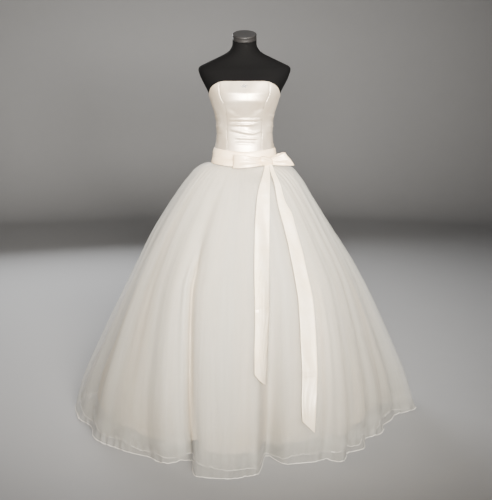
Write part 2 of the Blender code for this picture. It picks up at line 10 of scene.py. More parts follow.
import bpy
import numpy as np
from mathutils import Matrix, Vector


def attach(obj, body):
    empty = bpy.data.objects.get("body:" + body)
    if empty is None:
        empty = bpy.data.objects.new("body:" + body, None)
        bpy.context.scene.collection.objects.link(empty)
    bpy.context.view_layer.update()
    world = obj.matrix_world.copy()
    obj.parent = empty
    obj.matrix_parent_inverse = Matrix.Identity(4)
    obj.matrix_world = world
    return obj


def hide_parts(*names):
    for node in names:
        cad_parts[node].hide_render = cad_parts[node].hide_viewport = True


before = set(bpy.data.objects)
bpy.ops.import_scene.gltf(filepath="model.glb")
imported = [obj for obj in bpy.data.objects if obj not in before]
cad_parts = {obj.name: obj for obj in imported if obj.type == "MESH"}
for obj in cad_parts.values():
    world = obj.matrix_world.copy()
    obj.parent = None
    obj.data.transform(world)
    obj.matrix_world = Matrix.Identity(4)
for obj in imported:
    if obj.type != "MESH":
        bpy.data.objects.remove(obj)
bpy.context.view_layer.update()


def table(columns, *rows):
    """Rows of values whose columns have names."""
    row_kind = namedtuple("Row", columns)
    return [row_kind(*row) for row in rows]


# Heights of the waist
WAIST_SEAM_Z = 1.03
FRONT_DIP = 0.012
SASH_HEIGHT = 0.06

# How far the outer face of each piece stands off the form
BODICE_OFF = 0.0038
SASH_OFF = 0.0066
BODICE_CLOTH = 0.0012
SASH_CLOTH = 0.001
RIBBON_CLOTH = 0.0009
SEAM_GAP = 0.0003

# The dress form's sections, from the hips up: half width, depth before and behind the axis, and squareness
TORSO = table(
    "z side front back squareness",
    (0.862, 0.144, 0.086, 0.099, 2.2),
    (0.872, 0.153, 0.093, 0.107, 2.2),
    (0.91, 0.16, 0.099, 0.114, 2.2),
    (0.955, 0.157, 0.101, 0.114, 2.15),
    (0.995, 0.144, 0.099, 0.107, 2.1),
    (1.03, 0.1285, 0.095, 0.098, 2.1),
    (1.064, 0.1212, 0.09, 0.092, 2.1),
    (1.09, 0.1165, 0.087, 0.089, 2.1),
    (1.112, 0.1113, 0.085, 0.087, 2.1),
    (1.145, 0.1087, 0.084, 0.086, 2.1),
    (1.18, 0.11, 0.0865, 0.087, 2.1),
    (1.21, 0.1128, 0.094, 0.089, 2.1),
    (1.236, 0.119, 0.1045, 0.0915, 2.1),
    (1.262, 0.1278, 0.115, 0.094, 2.15),
    (1.29, 0.1365, 0.122, 0.0975, 2.2),
    (1.313, 0.1462, 0.118, 0.1, 2.3),
    (1.335, 0.1575, 0.11, 0.101, 2.4),
    (1.356, 0.1685, 0.101, 0.1, 2.5),
    (1.378, 0.1775, 0.089, 0.0965, 2.6),
    (1.397, 0.182, 0.078, 0.092, 2.6),
    (1.409, 0.177, 0.07, 0.087, 2.5),
    (1.421, 0.154, 0.064, 0.082, 2.4),
    (1.437, 0.12, 0.058, 0.075, 2.3),
    (1.452, 0.088, 0.053, 0.068, 2.2),
    (1.466, 0.0645, 0.049, 0.061, 2.1),
    (1.484, 0.051, 0.0465, 0.053, 2.0),
    (1.514, 0.0472, 0.0472, 0.0472, 2.0),
)
TORSO_COLUMNS = 128
TORSO_ROWS = 150
NECK_TILT = table("z share", (0.862, 0.0), (1.466, 0.0), (1.484, 0.35), (1.514, 1.0))

# Neck cap and stand
CAP_RADIUS = 0.0475
CAP_THICKNESS = 0.022
CAP_TILT = math.radians(22)
POLE_RADIUS = 0.0175
BASE_RADIUS = 0.17
BASE_THICKNESS = 0.012

# Bodice: its top edge all round, its seams, its panels, and the creases across the midriff
NECKLINE = table(
    "angle z",
    (0, 1.3465),
    (28, 1.3465),
    (40, 1.3465),
    (46, 1.344),
    (53, 1.336),
    (60, 1.325),
    (66, 1.313),
    (75, 1.301),
    (88, 1.2925),
    (112, 1.288),
    (180, 1.284),
)
BODICE_SEAMS = table(
    "z princess side_back",
    (1.018, 37.5, 142.0),
    (1.09, 42.0, 141.0),
    (1.155, 45.0, 139.0),
    (1.21, 42.0, 140.0),
    (1.257, 38.5, 142.0),
    (1.293, 44.0, 143.0),
    (1.347, 45.5, 143.0),
)
BODICE_PANELS = [
    "centre_front",
    "side_front_right",
    "side_back_right",
    "back_right",
    "back_left",
    "side_back_left",
    "side_front_left",
]
BODICE_MIDDLE_Z = 1.2
SEARCH_STEPS = 12
PANEL_COLUMNS = 41
PANEL_ROWS = 141
SEAM_ROLL = 0.0005
SEAM_ROLL_WIDTH = 0.006
MIDRIFF_RADIUS = 0.1
# A crease fades out over this share of its length, and starts this far into the fade
CREASE_FADE = 0.25
CREASE_START = 0.4
BODICE_CREASES = table(
    "angle z end_angle end_z width height",
    (-33, 1.211, 36, 1.211, 0.004, -0.0014),
    (-33, 1.2035, 36, 1.2045, 0.0038, 0.0026),
    (-32, 1.1955, 34, 1.196, 0.0038, -0.0016),
    (-35, 1.185, 22, 1.184, 0.0038, 0.0024),
    (-30, 1.1765, 12, 1.175, 0.0036, -0.001),
    (-34, 1.166, 20, 1.147, 0.0042, 0.0017),
    (-36, 1.156, 6, 1.141, 0.0042, -0.0009),
    (0, 1.165, 24, 1.148, 0.004, 0.0012),
    (22, 1.148, 41, 1.159, 0.0038, 0.0013),
    (-26, 1.134, 34, 1.129, 0.0046, 0.001),
    (-24, 1.122, 30, 1.12, 0.005, -0.0008),
    (-22, 1.111, 26, 1.108, 0.005, 0.0009),
    (-38, 1.246, -20, 1.236, 0.007, -0.0014),
    (20, 1.236, 39, 1.248, 0.007, -0.0014),
    (-38, 1.272, 40, 1.272, 0.012, 0.003),
    (-38, 1.305, 40, 1.305, 0.008, 0.0013),
    (56, 1.22, 84, 1.212, 0.0055, 0.002),
    (62, 1.2, 90, 1.196, 0.005, -0.0015),
    (60, 1.18, 100, 1.174, 0.0055, 0.0018),
    (58, 1.146, 96, 1.15, 0.0055, -0.0014),
    (-86, 1.21, -54, 1.218, 0.0055, 0.002),
    (-92, 1.192, -60, 1.196, 0.005, -0.0015),
    (-100, 1.17, -58, 1.178, 0.0055, 0.0018),
    (-96, 1.144, -60, 1.148, 0.0055, -0.0014),
    (120, 1.185, 172, 1.174, 0.005, 0.002),
    (126, 1.162, 174, 1.158, 0.005, -0.0015),
    (124, 1.14, 170, 1.144, 0.0055, 0.0015),
    (-172, 1.188, -122, 1.178, 0.005, 0.002),
    (-174, 1.158, -130, 1.164, 0.005, -0.0015),
    (-170, 1.14, -126, 1.135, 0.0055, 0.0015),
)
SASH_CREASES = table(
    "angle z end_angle end_z width height",
    (-150, 1.074, 20, 1.07, 0.005, 0.0012),
    (-100, 1.056, 40, 1.048, 0.0045, -0.0014),
    (-60, 1.038, 44, 1.044, 0.005, 0.0014),
    (60, 1.052, 176, 1.064, 0.005, -0.0012),
    (50, 1.046, 150, 1.044, 0.005, 0.0012),
    (-176, 1.048, -110, 1.044, 0.005, -0.0012),
)

# Sash: its mesh, the radius on which its creases are laid out, and how its edges roll in
SASH_COLUMNS = 288
SASH_ROWS = 25
SASH_RADIUS = 0.12
SASH_EDGE_ROLL = 0.0012
SASH_EDGE_SHARE = 0.06

# Neckline trim: a piping all round, and beads at the centre: one in the middle, six in a ring, one each side
PIPING_RADIUS = 0.0015
PIPING_RISE = 0.0008
PIPING_COLUMNS = 360
BEADS_Z = 1.33
MIDDLE_BEAD = 0.0038
RING_BEAD = 0.0022
SIDE_BEAD = 0.002
RING_HALF_WIDTH = 0.0064
RING_HALF_HEIGHT = 0.0054
SIDE_BEAD_X = 0.0104
# How much of its radius a bead's middle stands out, and how fast the bodice falls back beside the centre
BEAD_LIFT = 0.6
BEAD_FALL = 0.08

# Skirt: the crests and valleys of the top layer's hem, going round from the centre back
HEM_FOLDS = table(
    "angle radius",
    (-180, 0.69),
    (-170, 0.634),
    (-160, 0.702),
    (-150, 0.63),
    (-140, 0.698),
    (-130, 0.636),
    (-120, 0.704),
    (-110, 0.65),
    (-95, 0.716),
    (-79, 0.686),
    (-68, 0.648),
    (-57, 0.676),
    (-44, 0.66),
    (-33, 0.646),
    (-25.5, 0.674),
    (-19, 0.606),
    (-12.5, 0.738),
    (-4, 0.738),
    (3, 0.716),
    (8.5, 0.545),
    (14, 0.634),
    (23, 0.641),
    (27, 0.632),
    (31, 0.684),
    (36.5, 0.632),
    (43, 0.64),
    (51, 0.59),
    (61, 0.612),
    (69, 0.592),
    (79, 0.616),
    (89, 0.714),
    (101, 0.64),
    (111, 0.694),
    (121, 0.628),
    (132, 0.7),
    (143, 0.634),
    (155, 0.706),
    (168, 0.634),
    (180, 0.69),
)
LEFT_SIDE_SEAM = -110
RIGHT_SIDE_SEAM = 101
# The deepest valley, to which a layer's folds are scaled, how the folds grow downwards, and how they swing
# towards the sides above the hem
FOLD_FLOOR = 0.545
FOLD_GROWTH = 1.35
FOLD_SWING = 0.22
FOLD_SWING_Z = 0.6

# Skirt rings from the waist seam to the hem: the top layer's outer face at the sides, front and back, how
# deep the gathers are, how much of the seam's front dip and of the bow's dent is left, and how far the
# other layers lie in
SKIRT_RINGS = table(
    "z left right front back squareness gather dip dent second_in under_in",
    (1.0297, 0.1325, 0.1325, 0.0995, 0.1025, 2.1, 0.0, 1.0, 0.0, 0.0018, 0.0036),
    (1.0285, 0.155, 0.155, 0.112, 0.121, 2.05, 0.0005, 1.0, 0.7, 0.0035, 0.0075),
    (1.015, 0.186, 0.186, 0.136, 0.152, 2.0, 0.0016, 0.8, 1.0, 0.006, 0.014),
    (0.975, 0.226, 0.224, 0.18, 0.196, 2.0, 0.002, 0.3, 0.5, 0.007, 0.018),
    (0.9, 0.283, 0.272, 0.245, 0.258, 2.0, 0.0014, 0.0, 0.0, 0.008, 0.022),
    (0.79, 0.354, 0.343, 0.33, 0.338, 2.0, 0.0006, 0.0, 0.0, 0.008, 0.024),
    (0.64, 0.434, 0.441, 0.429, 0.435, 2.0, 0.0002, 0.0, 0.0, 0.009, 0.028),
    (0.3, 0.606, 0.612, 0.609, 0.612, 2.0, 0.0, 0.0, 0.0, 0.01, 0.038),
    (0.14, 0.679, 0.681, 0.68, 0.681, 2.0, 0.0, 0.0, 0.0, 0.011, 0.046),
    (0.0, 0.722, 0.722, 0.722, 0.722, 2.0, 0.0, 0.0, 0.0, 0.011, 0.05),
)
# The dent that the bow presses into the skirt's top, and the heights below which the hem's rise and fall sets
# in and the layers part straight out; how many gathers go round, and how rows crowd towards the waist
BOW_DENT = 0.014
BOW_DENT_ANGLE = math.radians(30)
BOW_DENT_WIDTH = math.radians(40)
HEM_LIFT_Z = 0.3
HEM_EASE_Z = 0.05
GATHER_COUNT = 57
ROW_CROWDING = 1.15

# Long soft folds on the skirt between the hem's main ones: where each lies on the hem, the heights that it
# runs between, its half width in degrees, how far it stands out (or in), and how many degrees it leans aside
PLEATS = table(
    "angle low high width height lean",
    (-101, 0.05, 0.9, 5.4, -0.0056, 2.0),
    (-86, 0.0, 0.8, 4.8, 0.005, -1.5),
    (-73, 0.1, 0.95, 4.1, -0.005, 1.0),
    (-62, 0.0, 0.7, 4.4, 0.0043, -2.0),
    (-55, 0.2, 0.98, 3.7, 0.0043, 1.5),
    (-48, 0.0, 0.85, 3.4, -0.0043, -1.0),
    (-38, 0.15, 0.98, 3.1, 0.0043, 2.2),
    (-29, 0.0, 0.75, 3.1, 0.0037, -1.2),
    (-19.9, 0.02, 0.66, 1.1, 0.01, 0.0),
    (-17.4, 0.0, 0.7, 1.0, -0.022, 0.0),
    (-13.6, 0.05, 0.6, 2.0, 0.0025, 1.0),
    (-9.5, 0.0, 0.45, 2.0, 0.0037, -0.8),
    (-6.5, 0.1, 0.8, 2.5, -0.0031, 1.2),
    (-3.5, 0.3, 0.98, 2.4, -0.0037, -1.4),
    (1.0, 0.0, 0.9, 2.5, 0.0031, 0.6),
    (11.5, 0.2, 0.98, 2.4, 0.0037, -1.0),
    (18.5, 0.05, 0.85, 2.7, -0.0043, 1.6),
    (25.0, 0.1, 0.6, 2.4, 0.0031, -1.2),
    (34.0, 0.0, 0.98, 2.7, 0.0043, 1.4),
    (40.0, 0.1, 0.8, 3.1, -0.0043, -1.8),
    (47.0, 0.0, 0.92, 3.4, 0.0043, 1.2),
    (56.0, 0.15, 0.98, 3.7, 0.0043, -1.0),
    (64.5, 0.0, 0.8, 3.7, -0.0043, 2.0),
    (74.0, 0.05, 0.95, 4.1, 0.005, -1.6),
    (95.0, 0.0, 0.9, 4.8, -0.005, 1.4),
    (106.0, 0.1, 0.98, 4.1, 0.0043, -1.2),
    (116.0, 0.0, 0.8, 3.7, -0.0043, 1.8),
    (127.0, 0.05, 0.96, 4.1, 0.0043, -1.4),
    (137.0, 0.2, 0.98, 3.4, -0.0043, 1.0),
    (149.0, 0.0, 0.85, 4.1, 0.005, -1.8),
    (161.0, 0.1, 0.98, 3.7, -0.0043, 1.2),
    (174.0, 0.0, 0.9, 4.1, 0.0043, -1.2),
    (-165.0, 0.15, 0.98, 3.7, -0.0043, 1.6),
    (-155.0, 0.0, 0.8, 4.1, 0.0043, -1.0),
    (-145.0, 0.1, 0.96, 3.4, -0.005, 1.4),
    (-135.0, 0.0, 0.98, 3.7, 0.0043, -1.6),
    (-125.0, 0.2, 0.9, 3.4, -0.0037, 1.2),
    (-115.0, 0.0, 0.96, 4.1, 0.0043, -1.2),
)
PLEAT_FADE = 0.16
# How fast a pleat's lean swings with height, and how much a metre of its height adds to the cover
PLEAT_SWAY = 4.5
# Pleats that stand out get more cover, as painted light, and pleats that sink in get less, as painted shade
PLEAT_SHADE_COVER = 8

# Where the tulle parts and the lining shows through, and where it bunches and hides it; some strips are
# painted shade on fold flanks and valleys, with painted light beside them. The place on the hem, the heights
# between which it does, its half width in degrees, and how much cover it takes away or adds
PARTINGS = table(
    "angle low high width cover",
    (-88, 0.1, 0.85, 4.0, 0.1),
    (-66, 0.12, 0.72, 6.0, -0.24),
    (-52, 0.1, 0.7, 3.0, 0.1),
    (-40, 0.05, 0.6, 3.0, -0.12),
    (-30, 0.2, 0.95, 3.5, 0.12),
    (-20.6, 0.0, 0.62, 1.6, 0.16),
    (-17.4, 0.0, 0.66, 1.8, -0.42),
    (-14.9, 0.0, 0.45, 1.3, -0.16),
    (-5, 0.2, 0.98, 3.5, 0.12),
    (5.5, 0.0, 0.75, 2.0, -0.14),
    (12, 0.15, 0.9, 2.4, 0.08),
    (26, 0.1, 0.6, 2.4, -0.12),
    (38, 0.05, 0.8, 2.8, 0.1),
    (52, 0.1, 0.7, 3.0, -0.1),
    (72, 0.1, 0.9, 4.0, 0.1),
    (92, 0.0, 0.8, 4.0, -0.1),
    (118, 0.1, 0.7, 3.5, -0.12),
    (136, 0.1, 0.9, 3.5, 0.1),
    (160, 0.05, 0.75, 3.5, -0.12),
    (-172, 0.1, 0.9, 3.5, 0.1),
    (-150, 0.05, 0.7, 3.5, -0.12),
    (-128, 0.1, 0.8, 3.5, 0.1),
    (-108, 0.05, 0.7, 3.5, -0.1),
)

# The three layers of the skirt: fold depth, how far in it lies, hem height and the hem's rise and fall, how
# far its own pleats are turned from the top layer's, whether its hem is corded and rippled, and its mesh
Layer = namedtuple("Layer", "name fold_share inset hem_z hem_wave turn rippled columns rows")
TOP_LAYER = Layer("skirt_top_tulle", 1.00, None, 0.0, 0.005, 0.0, True, 960, 130)
SECOND_LAYER = Layer("skirt_second_tulle", 0.93, "second_in", 0.010, 0.024, 3.5, True, 760, 90)
UNDERSKIRT = Layer("underskirt", 0.72, "under_in", 0.040, 0.022, -2.5, False, 420, 70)
HEM_CORD_RADIUS = 0.0012

# Ripples that the stiff cord throws along a tulle hem: how many go round, how far they stand up and out,
# and the height by which they fade
RIPPLE_COUNT = 106
RIPPLE_RISE = 0.006
RIPPLE_SWELL = 0.004
RIPPLE_FADE_Z = 0.05

# Extra cover of the tulle where it bears on the lining's hem, its height and its spread
HEM_HAZE = 0.16
HEM_HAZE_Z = 0.062
HEM_HAZE_SPREAD = 0.022

# Bow: where it sits on the sash, its knot with its creases, and its two loops
BOW_ANGLE = math.radians(44.5)
BOW_Z = 1.04
KNOT_HALF_LENGTH = 0.03
KNOT_HALF_DEPTH = 0.013
KNOT_HALF_HEIGHT = 0.0175
KNOT_SLOPE = math.radians(-16)
KNOT_SQUARENESS = 3
KNOT_COLUMNS = 96
KNOT_ROWS = 61
KNOT_SPAN = 0.94
KNOT_CREASES = table("depth count twist phase", (0.095, 5, 1.2, 0.0), (0.045, 9, -2.0, 0.7))
LOOPS = table(
    "name side length depth root_height end_height end_z turn slant root",
    ("bow_loop_left", -1, 0.12, 0.03, 0.02, 0.054, 1.043, 0.7, 0.004, 0.012),
    ("bow_loop_right", 1, 0.084, 0.03, 0.02, 0.052, 1.049, -0.5, 0.04, 0.014),
)
# How much of each end lies in the knot, how a loop swells, flares and is pleated, and its mesh
LOOP_ENDS = 0.075
LOOP_SWELL = 0.65
LOOP_FLARE = 0.6
LOOP_PLEAT = 0.0042
LOOP_SOFTNESS = 0.0026
LOOP_STEPS = 97
LOOP_ROWS = 25

# Sash tails from the knot down: middle, width, and the oblique end
LEFT_TAIL = table(
    "z x width",
    (1.029, 0.087, 0.015),
    (1.021, 0.0875, 0.017),
    (0.9955, 0.0853, 0.027),
    (0.949, 0.0766, 0.042),
    (0.865, 0.0692, 0.052),
    (0.745, 0.065, 0.056),
    (0.629, 0.064, 0.0555),
    (0.481, 0.0632, 0.0512),
    (0.4, 0.0598, 0.048),
    (0.307, 0.0565, 0.0395),
)
RIGHT_TAIL = table(
    "z x width",
    (1.029, 0.103, 0.011),
    (1.02, 0.1045, 0.013),
    (0.963, 0.1256, 0.022),
    (0.889, 0.144, 0.033),
    (0.865, 0.1545, 0.042),
    (0.801, 0.173, 0.044),
    (0.7317, 0.1915, 0.048),
    (0.6565, 0.207, 0.0495),
    (0.557, 0.2255, 0.055),
    (0.481, 0.231, 0.057),
    (0.4, 0.2345, 0.0575),
    (0.3, 0.237, 0.056),
    (0.2165, 0.233, 0.054),
    (0.1275, 0.23, 0.045),
)
TAIL_COLUMNS = 17
TAIL_ROWS = 280
LEFT_TAIL_END_SLOPE = 1.2
RIGHT_TAIL_END_SLOPE = 1.03
# A crease across each tail, where it was once folded
LEFT_TAIL_CREASE_Z = 0.54
RIGHT_TAIL_CREASE_Z = 0.302
TAIL_CREASE = 0.0026
TAIL_CREASE_WIDTH = 0.006
# How the tails lie on the tulle: how far off it, and within what width and height they feel for it, in the
# strip of the skirt that they cross
TAIL_CLEARANCE = 0.003
TAIL_REACH = 0.012
TAIL_LEVEL = 0.012
TAIL_STRIP_X = 0.15
TAIL_STRIP_HALF_WIDTH = 0.2
# How far below the seam they leave the knot, how long the oblique cut takes to form, how many rows each way
# the satin smooths out, how far that may sink it towards the tulle, and its slow wave
TAIL_FREE_DROP = 0.006
TAIL_CUT_RUN = 0.1
TAIL_SMOOTHING = 11
TAIL_SETTLE = 0.0015
TAIL_WAVE = 0.0018
TAIL_WAVE_RUN = 0.075

# Camera, as solved from the hem's ellipse and the form's shoulders
CAMERA_PLACE = (0.006, -3.750, 1.300)
CAMERA_PITCH = math.radians(80.51)
CAMERA_LENS = 67.05


def column_of(rows, name):
    """One named column of a table."""
    return np.array([getattr(row, name) for row in rows], float)


def smooth_curve(keys, values, at):
    """A smooth curve through values at rising keys, read at one or many places."""
    at = np.clip(at, keys[0], keys[-1])
    k = np.clip(np.searchsorted(keys, at) - 1, 0, len(keys) - 2)
    slopes = np.gradient(values, keys)
    width = keys[k + 1] - keys[k]
    t = (at - keys[k]) / width
    return (
        (1 + 2 * t) * (1 - t) ** 2 * values[k]
        + t * (1 - t) ** 2 * width * slopes[k]
        + t * t * (3 - 2 * t) * values[k + 1]
        + t * t * (t - 1) * width * slopes[k + 1]
    )


def read_table(rows, key, at, *names):
    """The named columns of a table, each read smoothly at values of the key column."""
    return [smooth_curve(column_of(rows, key), column_of(rows, name), at) for name in names]


def eased(share):
    """A share from 0 to 1 that starts and ends gently."""
    share = np.clip(share, 0, 1)
    return share * share * (3 - 2 * share)


def bell(offset, width):
    """From 0 to 1: a soft bump of that half width."""
    return np.exp(-((offset / width) ** 2))


def from_front(degrees):
    """Degrees from the centre front, from -180 to 180."""
    return (degrees + 180) % 360 - 180


def unit(vectors):
    """Vectors of length one."""
    return vectors / np.maximum(np.linalg.norm(vectors, axis=-1, keepdims=True), 1e-12)


def polar_radius(angle, side, front, back, squareness):
    """How far a rounded section reaches from the axis at an angle."""
    depth = np.where(np.cos(angle) >= 0, front, back)
    across = np.abs(np.sin(angle)) / side
    along = np.abs(np.cos(angle)) / depth
    return (across**squareness + along**squareness) ** (-1 / squareness)


def plan_points(angle, radius, z):
    """Points at plan angles, radii and heights."""
    x, y, z = np.broadcast_arrays(radius * np.sin(angle), -radius * np.cos(angle), z)
    return np.stack([x, y, z], -1)


def torso_points(angle, z):
    """Points on the dress form."""
    section = read_table(TORSO, "z", z, "side", "front", "back", "squareness")
    return plan_points(angle, polar_radius(angle, *section), z)


def off_torso(angle, z, distance):
    """Points that far outside the dress form, square to its surface."""
    small = 1e-3
    around = torso_points(angle + small, z) - torso_points(angle - small, z)
    upward = torso_points(angle, z + small) - torso_points(angle, z - small)
    normal = unit(np.cross(around, upward))
    return torso_points(angle, z) + normal * np.asarray(distance)[..., None]


def seam_z(angle):
    """The waist seam's height: level, but for a dip at the centre front."""
    return WAIST_SEAM_Z - FRONT_DIP * np.maximum(0.0, np.cos(angle)) ** 2


def crease_relief(angle, z, creases, radius):
    """How far soft creases, each along a line between two places, raise or lower a cloth on the body."""
    relief = np.zeros(np.broadcast(angle, z).shape)
    for crease in creases:
        start = np.array([math.radians(crease.angle) * radius, crease.z])
        along = np.array([math.radians(crease.end_angle) * radius, crease.end_z]) - start
        turned = (angle + math.pi) % (2 * math.pi) - math.pi
        across_x, across_z = turned * radius - start[0], z - start[1]
        share = (across_x * along[0] + across_z * along[1]) / (along @ along)
        offset = (across_x * along[1] - across_z * along[0]) / np.linalg.norm(along)
        ends = eased(share / CREASE_FADE + CREASE_START) * eased((1 - share) / CREASE_FADE + CREASE_START)
        relief += crease.height * bell(offset, crease.width) * ends
    return relief


def srgb(hex_value):
    """A six-digit sRGB colour as linear RGBA."""
    parts = [int(hex_value[k : k + 2], 16) / 255 for k in (0, 2, 4)]
    return (*(p / 12.92 if p <= 0.04045 else ((p + 0.055) / 1.055) ** 2.4 for p in parts), 1.0)


def add_node(tree, kind, inputs=None, **settings):
    """Adds a shader node with its settings. An input given as a socket is linked, one given as a node is
    linked from that node's first output, and any other is a value."""
    made = tree.nodes.new("ShaderNode" + kind)
    for name, value in settings.items():
        setattr(made, name, value)
    for name, value in (inputs or {}).items():
        if isinstance(value, bpy.types.Node):
            value = value.outputs[0]
        if isinstance(value, bpy.types.NodeSocket):
            tree.links.new(value, made.inputs[name])
        else:
            made.inputs[name].default_value = value
    return made


def new_material(name):
    """An empty node material: (material, its tree)."""
    made = bpy.data.materials.new(name)
    made.use_nodes = True
    made.node_tree.nodes.clear()
    return made, made.node_tree


def noise(tree, place, scale, detail):
    """Soft noise over places."""
    return add_node(tree, "TexNoise", {"Vector": place, "Scale": scale, "Detail": detail})


def scaled(tree, place, scale):
    """Places with each axis scaled."""
    return add_node(tree, "Mapping", {"Vector": place, "Scale": scale})


def mapped(tree, value, low, high, new_low=0.0, new_high=1.0):
    """A value brought from one range to another, and held to it."""
    return add_node(tree, "MapRange", {0: value, 1: low, 2: high, 3: new_low, 4: new_high})


def toned(tree, share, shade, light):
    """A colour between a darker and a lighter tone."""
    return add_node(tree, "Mix", {0: share, 6: srgb(shade), 7: srgb(light)}, data_type="RGBA").outputs[2]


def total(tree, value, other, **settings):
    """The sum of two values."""
    return add_node(tree, "Math", {0: value, 1: other}, operation="ADD", **settings)


def satin(name, light, shade, roughness, sheen, gleam, thread):
    """Duchess satin: long floats of filament yarn that lie side by side, so the light spreads into a soft
    band across the threads. The threads are drawn coarser than real ones, so that they show."""
    made, tree = new_material(name)
    place = add_node(tree, "TexCoord")
    floats = noise(tree, scaled(tree, place.outputs["UV"], (1 / thread, 9, 1)), 1.0, 3.0)
    patches = noise(tree, place.outputs["Object"], 14.0, 3.0)
    shader = add_node(
        tree,
        "BsdfPrincipled",
        {
            "Base Color": toned(tree, mapped(tree, patches, 0.38, 0.66), shade, light),
            "Roughness": mapped(tree, floats, 0.3, 0.7, roughness - 0.05, roughness + 0.06),
            "Normal": add_node(tree, "Bump", {"Strength": 0.25, "Distance": 0.0004, "Height": floats}),
            "Specular IOR Level": 0.65,
            "Metallic": gleam,
            "Anisotropic": 0.6,
            "Sheen Weight": sheen,
            "Sheen Roughness": 0.35,
        },
    )
    add_node(tree, "OutputMaterial", {0: shader})
    return made


def tulle(name, hex_value, cover, variation):
    """Nylon tulle: a net of fine yarn with holes of about 1.5 mm, so it veils what is behind it, scatters the
    light that comes through and thickens where its yarns bunch in long streaks down the skirt."""
    made, tree = new_material(name)
    place = add_node(tree, "TexCoord").outputs["UV"]
    streaks = noise(tree, scaled(tree, place, (26, 1.1, 1)), 1.0, 4.0)
    drifts = noise(tree, scaled(tree, place, (9, 0.9, 1)), 1.0, 2.0)
    uneven = mapped(tree, total(tree, streaks, drifts), 0.75, 1.25, -variation, variation)
    down = add_node(tree, "SeparateXYZ", {0: place}).outputs[1]
    fading = mapped(tree, down, 0.05, 0.60, 0.15, 1.0)
    # The skirt's cover: bunching and partings, with painted shade in fold valleys and painted light on crests
    folds = add_node(tree, "Attribute", attribute_name="bunching_and_fold_shade").outputs["Fac"]
    thick = add_node(tree, "Math", {0: uneven, 1: fading, 2: folds}, operation="MULTIPLY_ADD")
    net = add_node(
        tree,
        "TexVoronoi",
        {"Vector": place, "Scale": 420.0, "Randomness": 0.35},
        feature="DISTANCE_TO_EDGE",
    )
    yarn = mapped(tree, net, 0.02, 0.22, 0.10, -0.05)
    density = total(tree, total(tree, thick, cover - 0.5), yarn, use_clamp=True)
    yarns = add_node(
        tree,
        "BsdfPrincipled",
        {
            "Base Color": srgb(hex_value),
            "Roughness": 0.75,
            "Normal": add_node(tree, "Bump", {"Strength": 0.15, "Distance": 0.0006, "Height": drifts}),
            "Specular IOR Level": 0.3,
            "Sheen Weight": 0.3,
            "Sheen Roughness": 0.5,
        },
    )
    glow = add_node(tree, "BsdfTranslucent", {"Color": srgb(hex_value)})
    cloth = add_node(tree, "MixShader", {0: 0.25, 1: yarns, 2: glow})
    veil = add_node(tree, "MixShader", {0: density, 1: add_node(tree, "BsdfTransparent"), 2: cloth})
    add_node(tree, "OutputMaterial", {0: veil})
    return made


def plain_finish(name, light, shade, roughness, metallic, grain, bump_height, sheen=0.0, coat=0.0, gloss=0.5):
    """A surface of one material whose tone, gloss and relief vary with a fine grain of the given size."""
    made, tree = new_material(name)
    place = add_node(tree, "TexCoord").outputs["Object"]
    grains = noise(tree, place, 1 / grain, 3.0)
    wear = noise(tree, place, 9.0, 4.0)
    shader = add_node(
        tree,
        "BsdfPrincipled",
        {
            "Base Color": toned(tree, wear, shade, light),
            "Roughness": mapped(tree, wear, 0.3, 0.7, roughness - 0.05, roughness + 0.05),
            "Metallic": metallic,
            "Specular IOR Level": gloss,
            "Normal": add_node(tree, "Bump", {"Strength": 0.4, "Distance": bump_height, "Height": grains}),
            "Sheen Weight": sheen,
            "Coat Weight": coat,
        },
    )
    add_node(tree, "OutputMaterial", {0: shader})
    return made


# Bodice: heavy ivory duchess satin over boned lining, with a soft metallic gleam on its curves
BODICE_SATIN = satin("ivory duchess satin", "C3B7A6", "B7A995", 0.40, 0.04, 0.47, 0.0011)
# Sash: one satin in two copies, painted shade on the band, knot and loops, painted light on the tails
SHADED_SASH_SATIN = satin("champagne satin across the grain", "F1DDC0", "E5CDA8", 0.42, 0.05, 0.12, 0.0012)
LIT_TAIL_SATIN = satin("champagne satin along the grain", "FCEFDA", "F2E1C4", 0.40, 0.05, 0.12, 0.0012)
# Underskirt: thinner lining satin, warmer in tone and matt
UNDERSKIRT_SATIN = satin("warm ivory lining satin", "D3C6B1", "CBBCA4", 0.55, 0.10, 0.0, 0.0015)
# Tulle: the second layer is a little denser and greyer than the top one
TOP_TULLE = tulle("ivory tulle, top layer", "CBCAC2", 0.36, 0.13)
SECOND_TULLE = tulle("ivory tulle, second layer", "C5C2B8", 0.40, 0.13)
# Hem cord: nylon filament bound into the rolled hem, smooth and a little glossy
HEM_CORD = plain_finish("bound nylon hem cord", "FBF8F2", "EFEAE0", 0.30, 0.0, 0.002, 0.0002, sheen=0.2)
# Beads: silver-lined glass, which mirrors the room in bright and dark glints
BEAD_GLASS = plain_finish("silver-lined glass beads", "F6F8FC", "E4E8EE", 0.10, 0.85, 0.004, 0.0001, coat=1.0)
# Jersey: matt black knit, stretched over the padded form, that shows a faint bloom at its edges
FORM_JERSEY = plain_finish("black stretch jersey", "060607", "040404", 0.88, 0.0, 0.0013, 0.0003, gloss=0.08)
# Neck cap: turned disc with satin paint, which shows a soft highlight on its rim
CAP_PAINT = plain_finish("dark grey satin paint", "201F1F", "1A1919", 0.50, 0.0, 0.0016, 0.0001, gloss=0.3)
# Stand: steel with black powder coat, which has a fine orange-peel grain
STAND_STEEL = plain_finish("black powder-coated steel", "232325", "19191B", 0.45, 0.3, 0.0012, 0.0002)


def away_from_axis(centres):
    """Directions out of the body's axis at some points."""
    return centres * [1, 1, 0]


